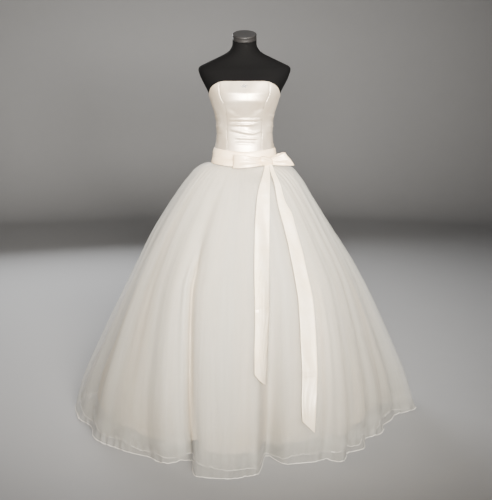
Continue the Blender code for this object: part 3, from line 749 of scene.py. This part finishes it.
def mesh_object(name, points, faces, material, hard_edges=None):
    """A smooth object from points and lists of corners; edges sharper than hard_edges degrees stay hard."""
    mesh = bpy.data.meshes.new(name)
    mesh.from_pydata(np.asarray(points).tolist(), [], faces)
    mesh.shade_smooth()
    if hard_edges:
        mesh.set_sharp_from_angle(angle=math.radians(hard_edges))
    mesh.materials.append(material)
    made = bpy.data.objects.new(name, mesh)
    bpy.context.scene.collection.objects.link(made)
    return made


def running_length(points):
    """How far along a line of points each of them lies."""
    return np.concatenate([[0], np.cumsum(np.linalg.norm(np.diff(points, axis=0), axis=1))])


def grid_quads(columns, rows, closed, round_rows=False):
    """Corners of the faces of a grid of points, which are numbered down one column after another."""
    i = np.arange(columns if closed else columns - 1)[:, None]
    j = np.arange(rows if round_rows else rows - 1)[None, :]
    after, below = (i + 1) % columns, (j + 1) % rows
    quads = np.stack([i * rows + j, after * rows + j, after * rows + below, i * rows + below], -1)
    return quads.reshape(-1, 4)


def ring_quads(rings, sides, first=0):
    """Corners of the faces between rings of points, one above another, from the point numbered first."""
    return (grid_quads(rings, sides, False, round_rows=True)[:, [0, 3, 2, 1]] + first).tolist()


def sheet_object(name, points, material, closed=False, away=away_from_axis):
    """A sheet through a grid of points, faces outwards, with a UV map in metres along and down the cloth."""
    columns, rows = points.shape[:2]
    quads = grid_quads(columns, rows, closed)
    flat = points.reshape(-1, 3)
    corners = flat[quads]
    normals = np.cross(corners[:, 2] - corners[:, 0], corners[:, 3] - corners[:, 1])
    if (normals * away(corners.mean(axis=1))).sum() < 0:
        quads = quads[:, ::-1]
    made = mesh_object(name, flat, quads.tolist(), material)
    middle = points[:, rows // 2]
    along = running_length(np.concatenate([middle, middle[:1]]))
    down = running_length(points[columns // 2])
    u = np.where(quads // rows == 0, 0, along[quads // rows])
    if closed:
        last = (quads // rows == 0) & ((quads // rows).max(axis=1, keepdims=True) == columns - 1)
        u = np.where(last, along[-1], u)
    layer = made.data.uv_layers.new(name="cloth")
    layer.data.foreach_set("uv", np.stack([u, down[quads % rows]], -1).ravel().astype(np.float32))
    return made


def give_thickness(piece, thickness):
    """Turns a sheet into a thin wall whose outer face stays where it is."""
    wall = piece.modifiers.new("cloth", "SOLIDIFY")
    wall.thickness = thickness
    wall.offset = -1


def tube_object(name, path, radius, material, closed=True, sides=8):
    """A round cord along a path that runs round the body."""
    if closed:
        ahead = unit(np.roll(path, -1, axis=0) - np.roll(path, 1, axis=0))
    else:
        ahead = unit(np.gradient(path, axis=0))
    across = unit(np.cross(ahead, [0, 0, 1]))
    above = np.cross(across, ahead)
    turns = 2 * np.pi * np.arange(sides) / sides
    ring = across[:, None] * np.cos(turns)[:, None] + above[:, None] * np.sin(turns)[:, None]
    points = (path[:, None] + ring * radius).reshape(-1, 3)
    faces = grid_quads(len(path), sides, closed, round_rows=True).tolist()
    if not closed:
        faces += [list(range(sides)), list(range(len(points) - sides, len(points)))[::-1]]
    return mesh_object(name, points, faces, material)


def lathe_object(name, profile, columns, material):
    """A turned solid from (radius, z) points that run from the axis out and back to it."""
    turns = 2 * np.pi * np.arange(columns) / columns
    points = np.concatenate([plan_points(turns, radius, z) for radius, z in profile])
    faces = [list(range(columns))[::-1], list(range(len(points) - columns, len(points)))]
    faces += ring_quads(len(profile), columns)
    return mesh_object(name, points, faces, material, hard_edges=35)


def finish(piece, slot, *nodes):
    """Puts a piece on the body in place of its nodes. The slot is not used."""
    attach(piece, "root")
    if nodes:
        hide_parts(*nodes)


def rounded_edge(radius, low, high, bevel, steps=5):
    """(radius, z) points up the outside of a disc with rounded edges."""
    turns = np.linspace(0, math.pi / 2, steps)
    bottom = [(radius - bevel + bevel * math.sin(t), low + bevel - bevel * math.cos(t)) for t in turns]
    top = [(radius - bevel + bevel * math.cos(t), high - bevel + bevel * math.sin(t)) for t in turns]
    return bottom + top


def build_form():
    """The torso under its jersey, with the neck cut at a slant for the cap."""
    turns = 2 * np.pi * np.arange(TORSO_COLUMNS) / TORSO_COLUMNS
    z = np.linspace(TORSO[0].z, TORSO[-1].z, TORSO_ROWS)
    points = torso_points(turns[:, None], z[None, :])
    shares = np.interp(z, column_of(NECK_TILT, "z"), column_of(NECK_TILT, "share"))
    points[..., 2] += points[..., 1] * shares * math.tan(CAP_TILT)
    faces = grid_quads(TORSO_COLUMNS, TORSO_ROWS, closed=True).tolist()
    foot = [i * TORSO_ROWS for i in range(TORSO_COLUMNS)]
    faces += [foot[::-1], [i + TORSO_ROWS - 1 for i in foot]]
    made = mesh_object("form_torso_jersey", points.reshape(-1, 3), faces, FORM_JERSEY, hard_edges=50)
    finish(made, "form_jersey", "form_torso")


def build_neck_cap():
    """A turned disc with a groove under its rounded rim."""
    groove, groove_low, groove_high = 0.001, CAP_THICKNESS * 0.45, CAP_THICKNESS * 0.55
    outline = rounded_edge(CAP_RADIUS, 0.0, groove_low, bevel=0.0012)
    outline += [(CAP_RADIUS - groove, (groove_low + groove_high) / 2)]
    outline += rounded_edge(CAP_RADIUS, groove_high, CAP_THICKNESS, bevel=0.0035)[2:]
    made = lathe_object("neck_cap_disc", outline, 96, CAP_PAINT)
    back = np.array([0, math.cos(CAP_TILT), math.sin(CAP_TILT)])
    up = np.array([0, -math.sin(CAP_TILT), math.cos(CAP_TILT)])
    for vertex in made.data.vertices:
        x, y, z = vertex.co
        vertex.co = np.array([x, 0, TORSO[-1].z]) + back * y + up * (z + SEAM_GAP)
    finish(made, "cap_metal", "form_neck_cap")


def build_stand():
    """The round base with its rounded edge and the pole with its collars."""
    disc = rounded_edge(BASE_RADIUS, 0.0, BASE_THICKNESS, bevel=0.004)
    finish(lathe_object("stand_base_disc", disc, 128, STAND_STEEL), "stand_steel", "stand_base")
    foot, head = BASE_THICKNESS + SEAM_GAP, TORSO[0].z - SEAM_GAP
    collar = POLE_RADIUS + 0.0035
    collar_height, shoulder = 0.018, 0.022
    outline = [
        (collar, foot),
        (collar, foot + collar_height),
        (POLE_RADIUS + 0.0005, foot + shoulder),
        (POLE_RADIUS, foot + shoulder),
        (POLE_RADIUS, head - collar_height - 0.002),
        (collar, head - collar_height),
        (collar, head),
    ]
    pole = lathe_object("stand_pole_tube", outline, 48, STAND_STEEL)
    finish(pole, "stand_steel", "stand_pole")


def bodice_seams(z):
    """The eight seams' angles at heights, the last being the first again after a full turn."""
    princess, side_back = read_table(BODICE_SEAMS, "z", z, "princess", "side_back")
    even = np.ones_like(princess)
    right = [princess, 90 * even, side_back, 180 * even]
    degrees = [-princess, *right, 360 - side_back, 270 * even, 360 - princess]
    return np.radians(np.stack(degrees))


def neckline_z(angle):
    """The bodice's top edge at angles, the same on both sides."""
    turned = np.abs(from_front(np.degrees(angle)))
    return read_table(NECKLINE, "angle", turned, "z")[0]


def panel_places(panel, across, up):
    """(angles, heights) of a panel's points from their shares across and up."""
    z = np.full(np.broadcast(across, up).shape, BODICE_MIDDLE_Z)
    for _ in range(SEARCH_STEPS):
        seams = bodice_seams(z)
        angle = seams[panel] + (seams[panel + 1] - seams[panel]) * across
        low = seam_z(angle)
        z = low + (neckline_z(angle) - low) * up
    return angle, z


def build_bodice():
    """Seven satin panels whose edges roll into the seams, with creases across the midriff."""
    shares = np.linspace(0, 1, PANEL_COLUMNS)[:, None]
    rises = np.linspace(0, 1, PANEL_ROWS)[None, :]
    for k, place in enumerate(BODICE_PANELS):
        name = "bodice_" + place
        angle, z = panel_places(k, shares, rises)
        width = np.abs(angle[-1] - angle[0]) * MIDRIFF_RADIUS
        to_seam = np.minimum(shares, 1 - shares) * width[None, :]
        relief = crease_relief(angle, z, BODICE_CREASES, MIDRIFF_RADIUS)
        relief -= SEAM_ROLL * bell(to_seam, SEAM_ROLL_WIDTH)
        points = off_torso(angle, z, BODICE_OFF + relief)
        points[:, 0, 2] = z[:, 0]
        panel = sheet_object(name + "_satin", points, BODICE_SATIN)
        give_thickness(panel, BODICE_CLOTH)
        finish(panel, "bodice_satin", name)


def build_neckline_trim():
    """The piping along the bodice's top edge, and the small cluster of beads at its centre."""
    turns = np.linspace(-np.pi, np.pi, PIPING_COLUMNS + 1)[:-1]
    path = off_torso(turns, neckline_z(turns), np.full_like(turns, BODICE_OFF - BODICE_CLOTH / 2))
    path[:, 2] += PIPING_RISE
    finish(tube_object("neckline_piping", path, PIPING_RADIUS, BODICE_SATIN), "bodice_satin")
    centre = off_torso(0.0, BEADS_Z, BODICE_OFF)
    spots = [(0.0, 0.0, MIDDLE_BEAD)]
    for turn in np.arange(6) * math.pi / 3:
        spots.append((RING_HALF_WIDTH * math.cos(turn), RING_HALF_HEIGHT * math.sin(turn), RING_BEAD))
    spots += [(side * SIDE_BEAD_X, 0.0, SIDE_BEAD) for side in (-1, 1)]
    points, faces = [], []
    for across, above, radius in spots:
        place = centre + [across, 0, above]
        place[1] = off_torso(0.0, place[2], BODICE_OFF + BEAD_LIFT * radius)[1] + abs(across) * BEAD_FALL
        first = len(points)
        new_points, new_faces = ball(place, radius)
        points += new_points
        faces += [[first + k for k in face] for face in new_faces]
    finish(mesh_object("neckline_beads", points, faces, BEAD_GLASS), "bodice_satin")


def ball(centre, radius, columns=14, rows=8):
    """(points, faces) of a small ball."""
    lift = np.pi * np.arange(1, rows)[:, None] / rows
    turn = 2 * np.pi * np.arange(columns)[None, :] / columns
    rings = np.stack(
        np.broadcast_arrays(np.sin(lift) * np.cos(turn), np.sin(lift) * np.sin(turn), -np.cos(lift)), -1
    )
    points = centre + radius * np.concatenate([[[0, 0, -1]], rings.reshape(-1, 3), [[0, 0, 1]]])
    last = len(points) - 1
    faces = ring_quads(rows - 1, columns, first=1)
    for i in range(columns):
        after = (i + 1) % columns
        faces.append([0, 1 + after, 1 + i])
        faces.append([last, last - columns + i, last - columns + after])
    return points.tolist(), faces


def build_sash():
    """The satin band round the waist, laid in soft folds."""
    turns = np.linspace(-np.pi, np.pi, SASH_COLUMNS + 1)[:-1]
    rises = np.linspace(0, 1, SASH_ROWS)
    low = seam_z(turns)[:, None]
    z = low + SASH_HEIGHT * rises[None, :]
    angle = np.broadcast_to(turns[:, None], z.shape)
    relief = crease_relief(angle, z, SASH_CREASES, SASH_RADIUS)
    relief -= SASH_EDGE_ROLL * (bell(rises, SASH_EDGE_SHARE) + bell(1 - rises, SASH_EDGE_SHARE))[None, :]
    points = off_torso(angle, z, SASH_OFF + relief)
    points[..., 2] = z
    band = sheet_object("sash_band_satin", points, SHADED_SASH_SATIN, closed=True)
    give_thickness(band, SASH_CLOTH)
    finish(band, "sash_satin", "sash_band")


RING_RUN = running_length(np.stack([column_of(SKIRT_RINGS, "front"), column_of(SKIRT_RINGS, "z")], -1))


def hem_radius(angle):
    """The top layer's hem radius: crests and valleys joined by half waves."""
    degrees, radii = column_of(HEM_FOLDS, "angle"), column_of(HEM_FOLDS, "radius")
    turned = from_front(np.degrees(angle))
    k = np.clip(np.searchsorted(degrees, turned, side="right") - 1, 0, len(degrees) - 2)
    share = (turned - degrees[k]) / (degrees[k + 1] - degrees[k])
    return radii[k] + (radii[k + 1] - radii[k]) * (1 - np.cos(np.pi * share)) / 2


def swing(z):
    """How far the folds at a height lie towards the sides, because the front ones hang straight down."""
    return FOLD_SWING * np.clip(z / FOLD_SWING_Z, 0, 1)


def angle_above(hem_angle, z):
    """The angle at a height of the fold line that meets the hem at hem_angle."""
    angle = hem_angle
    for _ in range(SEARCH_STEPS):
        angle = hem_angle + swing(z) * np.sin(2 * angle)
    return angle


def fold_depth(hem_angle, z, fold_share):
    """How far a fold brings a layer in from the skirt's smooth shape."""
    hem = SKIRT_RINGS[-1].front
    whole = hem_radius(hem_angle) - hem
    floor = FOLD_FLOOR - hem
    growth = np.maximum(0.0, 1 - z / WAIST_SEAM_Z) ** FOLD_GROWTH
    return (floor + fold_share * (whole - floor)) * growth


def strip_share(strip, degrees, z):
    """From 0 to 1: how much a strip up the skirt counts at a place; it fades at its sides and ends."""
    ends = eased((z - strip.low) / PLEAT_FADE + 0.5) * eased((strip.high - z) / PLEAT_FADE + 0.5)
    return bell(from_front(degrees - strip.angle), strip.width) * ends


def pleat_relief(hem_angle, z, turn):
    """How far the long soft folds raise or lower a layer."""
    relief = np.zeros(np.broadcast(hem_angle, z).shape)
    degrees = np.degrees(hem_angle) - turn
    for pleat in PLEATS:
        lean = pleat.lean * np.sin(PLEAT_SWAY * z + pleat.angle)
        relief += pleat.height * strip_share(pleat, degrees - lean, z)
    return relief


def bunching_and_fold_shade(hem_angle, z, turn):
    """How densely the tulle lies, 0.5 being even: thin where it parts, dense where it bunches, and along the
    pleats thinner in valleys and denser on crests, as painted shade and light.
    """
    made = 0.5 + PLEAT_SHADE_COVER * pleat_relief(hem_angle, z, turn)
    uneven = 0.7 + 0.3 * np.sin(11 * hem_angle + 0.9 + turn)
    made = made + HEM_HAZE * uneven * bell(z - HEM_HAZE_Z, HEM_HAZE_SPREAD)
    degrees = np.degrees(hem_angle) - turn / 3
    for parting in PARTINGS:
        made = made + parting.cover * strip_share(parting, degrees, z)
    return made


def gather_wave(hem_angle, turn):
    """From 0 to 1: how far the uneven gathers at the waist stand in."""
    shift = 0.9 * np.sin(5 * hem_angle + 1.3) + 0.7 * np.sin(11 * hem_angle + 0.4) + turn
    depth = 0.75 + 0.25 * np.sin(8 * hem_angle + 2.1)
    return depth * (1 - np.cos(GATHER_COUNT * hem_angle + shift)) / 2


def hem_ripple(hem_angle, turn):
    """From -1 to 1: the uneven ripples of a corded hem."""
    shift = 2.2 * np.sin(4 * hem_angle + turn) + 1.6 * np.sin(9 * hem_angle + 0.8)
    depth = 0.55 + 0.45 * np.sin(13 * hem_angle + 0.6 + turn)
    return depth * np.sin(RIPPLE_COUNT * hem_angle + shift)


def skirt_points(layer, hem_angle, run):
    """A layer's outer face at hem angles (down the first axis) and distances from the waist (the second)."""
    names = ("z", "left", "right", "front", "back", "squareness", "gather", "dip", "dent")
    z, left, right, front, back, squareness, gather, dip, dent = (
        smooth_curve(RING_RUN, column_of(SKIRT_RINGS, name), run) for name in names
    )
    hem_angle = hem_angle[:, None]
    angle = angle_above(hem_angle, z)
    side = np.where(np.sin(angle) < 0, left, right)
    radius = polar_radius(angle, side, front, back, squareness) + fold_depth(hem_angle, z, layer.fold_share)
    height = z - FRONT_DIP * dip * np.maximum(0.0, np.cos(angle)) ** 2
    height = height - BOW_DENT * dent * bell(angle - BOW_DENT_ANGLE, BOW_DENT_WIDTH)
    inset = gather * gather_wave(hem_angle, layer.turn) - pleat_relief(hem_angle, z, layer.turn)
    if layer.inset:
        inset = inset + smooth_curve(RING_RUN, column_of(SKIRT_RINGS, layer.inset), run)
    out, down = np.gradient(front, run), -np.gradient(z, run)
    across, up = down / np.hypot(out, down), out / np.hypot(out, down)
    waves = 0.6 * np.sin(9 * hem_angle + layer.turn) + 0.4 * np.sin(23 * hem_angle + 2 * layer.turn)
    lift = layer.hem_z + layer.hem_wave * (1 + waves) / 2
    height = height - inset * up * eased(z / HEM_EASE_Z) + lift * np.maximum(0.0, 1 - z / HEM_LIFT_Z)
    if layer.rippled:
        ripple = hem_ripple(hem_angle, layer.turn) * eased(1 - z / RIPPLE_FADE_Z)
        height = height + RIPPLE_RISE * (np.abs(ripple) + ripple) / 2
        radius = radius + RIPPLE_SWELL * ripple
    return plan_points(angle, radius - inset * across, height), bunching_and_fold_shade(hem_angle, z, layer.turn)


def build_skirt_layer(layer, material, slot):
    """A front and a back half, gathered into the waist seam, with a bound cord along the hem of a tulle."""
    halves = [
        ("front", math.radians(LEFT_SIDE_SEAM), math.radians(RIGHT_SIDE_SEAM)),
        ("back", math.radians(RIGHT_SIDE_SEAM), math.radians(LEFT_SIDE_SEAM + 360)),
    ]
    run = RING_RUN[-1] * np.linspace(0, 1, layer.rows) ** ROW_CROWDING
    made = []
    for half, start, end in halves:
        share = (end - start) / (2 * math.pi)
        gap = SEAM_GAP / SKIRT_RINGS[-1].front
        hem_angle = np.linspace(start + gap, end - gap, int(layer.columns * share))
        points, cover = skirt_points(layer, hem_angle, run)
        piece = sheet_object(f"{layer.name}_{half}_cloth", points, material)
        # The cover, with its painted fold shade and light, is kept on the points
        attribute = piece.data.attributes.new("bunching_and_fold_shade", "FLOAT", "POINT")
        attribute.data.foreach_set("value", cover.ravel().astype(np.float32))
        finish(piece, slot, f"{layer.name}_{half}")
        if layer.rippled:
            hem = points[:, -1] + [0, 0, HEM_CORD_RADIUS]
            name = f"{layer.name}_{half}_hem_cord"
            cord = tube_object(name, hem, HEM_CORD_RADIUS, HEM_CORD, closed=False, sides=6)
            finish(cord, slot)
        made.append(points)
    return made


def bow_frame():
    """(seat on the sash, direction along it to the right, direction out of it) at the bow."""
    seat = off_torso(BOW_ANGLE, BOW_Z, SASH_OFF)
    beside = off_torso(BOW_ANGLE + 0.05, BOW_Z, SASH_OFF) - off_torso(BOW_ANGLE - 0.05, BOW_Z, SASH_OFF)
    along = unit(beside * [1, 1, 0])
    return seat, along, np.array([along[1], -along[0], 0])


def knot_centre():
    """The middle of the knot, which just clears the sash."""
    seat, _, out = bow_frame()
    return seat + out * (KNOT_HALF_DEPTH + SEAM_GAP)


def build_knot():
    """A wrap of satin round the roots of the loops and tails, creased along its slope."""
    _, along, out = bow_frame()
    middle, up = knot_centre(), np.array([0.0, 0.0, 1.0])
    long_way = along * math.cos(KNOT_SLOPE) + up * math.sin(KNOT_SLOPE)
    high_way = -np.cross(out, long_way)
    share = np.sin(np.linspace(-0.5, 0.5, KNOT_ROWS) * math.pi * KNOT_SPAN)[:, None]
    turn = 2 * np.pi * np.arange(KNOT_COLUMNS)[None, :] / KNOT_COLUMNS
    girth = (1 - np.abs(share) ** KNOT_SQUARENESS) ** (1 / KNOT_SQUARENESS)
    crease = sum(c.depth * np.cos(c.count * turn + c.twist * share + c.phase) for c in KNOT_CREASES)
    size = girth * (1 + crease * np.maximum(0.15, np.cos(turn - 0.2)))
    points = (
        middle
        + long_way * (share * KNOT_HALF_LENGTH)[..., None] * np.ones_like(size)[..., None]
        + out * (np.cos(turn) * size * KNOT_HALF_DEPTH)[..., None]
        + high_way * (np.sin(turn) * size * KNOT_HALF_HEIGHT)[..., None]
    )
    points = np.swapaxes(points, 0, 1)
    knot = sheet_object("bow_knot_wrap", points, SHADED_SASH_SATIN, closed=True, away=lambda c: c - middle)
    give_thickness(knot, RIBBON_CLOTH)
    finish(knot, "sash_satin", "bow_knot")


def loop_points(loop, share, height):
    """Points of a loop: share runs out along its front and back again behind, height is -0.5 to 0.5."""
    _, along, out = bow_frame()
    reach = np.sin(np.pi * share) ** 2
    swell = LOOP_SWELL * loop.depth * np.sin(2 * np.pi * share) * np.sin(np.pi * share)
    ribbon = loop.root_height + (loop.end_height - loop.root_height) * reach**LOOP_FLARE
    length = loop.length - loop.slant * height * reach
    turn = loop.turn * reach
    distance = length * reach
    forward = distance * (1 - turn * turn / 6)
    pleats = LOOP_PLEAT * (1 - reach) ** 2 * np.cos(5 * np.pi * height + 0.4)
    soft = LOOP_SOFTNESS * np.sin(2.3 * np.pi * height + 5 * share) * reach
    backward = distance * turn / 2 - pleats - soft
    z = BOW_Z + (loop.end_z - BOW_Z) * reach + height * ribbon
    place = knot_centre() + loop.side * along * (loop.root + forward)[..., None]
    place = place + out * (swell - backward)[..., None]
    place[..., 2] = z
    return place


def build_loops():
    """The two loops of the bow, pinched into the knot in small pleats."""
    for loop in LOOPS:
        share = np.linspace(LOOP_ENDS, 1 - LOOP_ENDS, LOOP_STEPS)[:, None]
        height = np.linspace(-0.5, 0.5, LOOP_ROWS)[None, :]
        points = loop_points(loop, share, height)
        middle = points.mean(axis=(0, 1))
        piece = sheet_object(loop.name + "_ribbon", points, SHADED_SASH_SATIN, away=lambda c, m=middle: c - m)
        give_thickness(piece, RIBBON_CLOTH)
        finish(piece, "sash_satin", loop.name)


def build_tail(name, rows, end_slope, crease_z, skirt):
    """A satin tail that hangs from the knot down the front of the skirt and ends in an oblique cut."""
    run = running_length(np.stack([column_of(rows, "x"), column_of(rows, "z")], -1))
    at = np.linspace(0, run[-1], TAIL_ROWS)
    x, z, width = (smooth_curve(run, column_of(rows, c), at) for c in ("x", "z", "width"))
    share = np.linspace(-0.5, 0.5, TAIL_COLUMNS)[:, None]
    to_end = eased((at - (run[-1] - TAIL_CUT_RUN)) / TAIL_CUT_RUN)
    height = z[None, :] - share * width * end_slope * to_end
    across = x[None, :] + share * width
    knot_y = knot_centre()[1]
    front = skirt[(skirt[..., 1] < 0) & (np.abs(skirt[..., 0] - TAIL_STRIP_X) < TAIL_STRIP_HALF_WIDTH)]
    y = np.empty_like(height)
    for j in range(TAIL_ROWS):
        level = front[np.abs(front[:, 2] - z[j]) < TAIL_LEVEL]
        for i in range(TAIL_COLUMNS):
            near = level[np.abs(level[:, 0] - across[i, j]) < TAIL_REACH]
            free = z[j] > seam_z(BOW_ANGLE) - TAIL_FREE_DROP or len(near) == 0
            y[i, j] = knot_y if free else near[:, 1].min() - TAIL_CLEARANCE
    y = np.minimum(y, knot_y)
    kernel = np.hanning(2 * TAIL_SMOOTHING + 3)[1:-1]
    padded = np.pad(y, ((0, 0), (TAIL_SMOOTHING, TAIL_SMOOTHING)), mode="edge")
    soft = np.stack([np.convolve(line, kernel / kernel.sum(), mode="valid") for line in padded])
    y = np.minimum(soft, y + TAIL_SETTLE)
    wave = TAIL_WAVE * np.sin(at / TAIL_WAVE_RUN + 1.0) ** 2 * eased(at / TAIL_CUT_RUN)
    y = y - wave[None, :] * np.cos(np.pi * share)
    y = y - TAIL_CREASE * bell(height - crease_z, TAIL_CREASE_WIDTH)
    points = np.stack([across, y, height], -1)
    tail = sheet_object(name + "_ribbon", points, LIT_TAIL_SATIN, away=lambda c: c * 0 + [0, -1, 0])
    give_thickness(tail, RIBBON_CLOTH)
    finish(tail, "sash_satin", name)


def build_studio():
    """A round floor of pale paper that sweeps up into a wall, soft lights and the camera."""
    # Floor: matt pale paper with a faint grain
    paper = plain_finish("pale studio paper", "A9AAAC", "A4A5A7", 0.9, 0.0, 0.02, 0.0002)
    reach, bend, rise = 8.0, 2.0, 5.0
    profile = [(0.001, 0.0), (reach - bend, 0.0)]
    for turn in np.linspace(0, math.pi / 2, 20)[1:]:
        profile.append((reach - bend + bend * math.sin(turn), bend - bend * math.cos(turn)))
    profile.append((reach, rise))
    turns = 2 * np.pi * np.arange(96) / 96
    points = np.stack([plan_points(turns, radius, z) for radius, z in profile], axis=1)
    floor = sheet_object(
        "studio_sweep", points, paper, closed=True, away=lambda centres: centres * [-1, -1, 0] + [0, 0, 1]
    )
    floor.location = (0, 0, -0.0005)
    world = bpy.data.worlds.new("studio air")
    bpy.context.scene.world = world
    world.use_nodes = True
    air = world.node_tree.nodes["Background"]
    air.inputs[0].default_value = srgb("E9EBEE")
    air.inputs[1].default_value = 0.06
    lamps = [
        # name, place, what it points at, width, height, power, spread in degrees, colour
        ("front softbox", (0.4, -3.9, 1.46), (0, 0, 1.30), 1.6, 0.42, 112, 55, "FFF9F0"),
        ("key softbox", (0.9, -2.3, 2.8), (0, 0, 1.35), 0.8, 0.8, 14, 60, "FFF7EC"),
        ("warm fill softbox", (-3.0, -2.2, 1.6), (0, 0, 0.7), 1.6, 1.6, 8, 180, "FFCB94"),
        ("top softbox", (0.3, 1.1, 3.4), (0, 0, 0.8), 1.6, 1.6, 8, 180, "FFFFFF"),
        ("back softbox", (-1.6, 3.8, 2.4), (0, 0, 0.8), 2.0, 1.6, 110, 150, "FFFFFF"),
    ]
    for name, place, target, width, height, power, spread, hex_value in lamps:
        light = bpy.data.lights.new(name, "AREA")
        light.shape = "RECTANGLE"
        light.size = width
        light.size_y = height
        light.energy = power
        light.spread = math.radians(spread)
        light.color = srgb(hex_value)[:3]
        lamp = bpy.data.objects.new(name, light)
        lamp.location = place
        lamp.rotation_euler = (Vector(target) - Vector(place)).to_track_quat("-Z", "Y").to_euler()
        bpy.context.scene.collection.objects.link(lamp)
    camera = bpy.data.cameras.new("photo camera")
    camera.lens = CAMERA_LENS
    eye = bpy.data.objects.new("photo camera", camera)
    eye.location = CAMERA_PLACE
    eye.rotation_euler = (CAMERA_PITCH, 0, 0)
    bpy.context.scene.collection.objects.link(eye)
    bpy.context.scene.camera = eye


build_studio()
build_form()
build_neck_cap()
build_stand()
build_bodice()
build_neckline_trim()
build_sash()
build_knot()
build_loops()
top_front, _ = build_skirt_layer(TOP_LAYER, TOP_TULLE, "tulle")
build_skirt_layer(SECOND_LAYER, SECOND_TULLE, "tulle")
build_skirt_layer(UNDERSKIRT, UNDERSKIRT_SATIN, "underskirt_satin")
build_tail("sash_tail_left", LEFT_TAIL, LEFT_TAIL_END_SLOPE, LEFT_TAIL_CREASE_Z, top_front)
build_tail("sash_tail_right", RIGHT_TAIL, RIGHT_TAIL_END_SLOPE, RIGHT_TAIL_CREASE_Z, top_front)
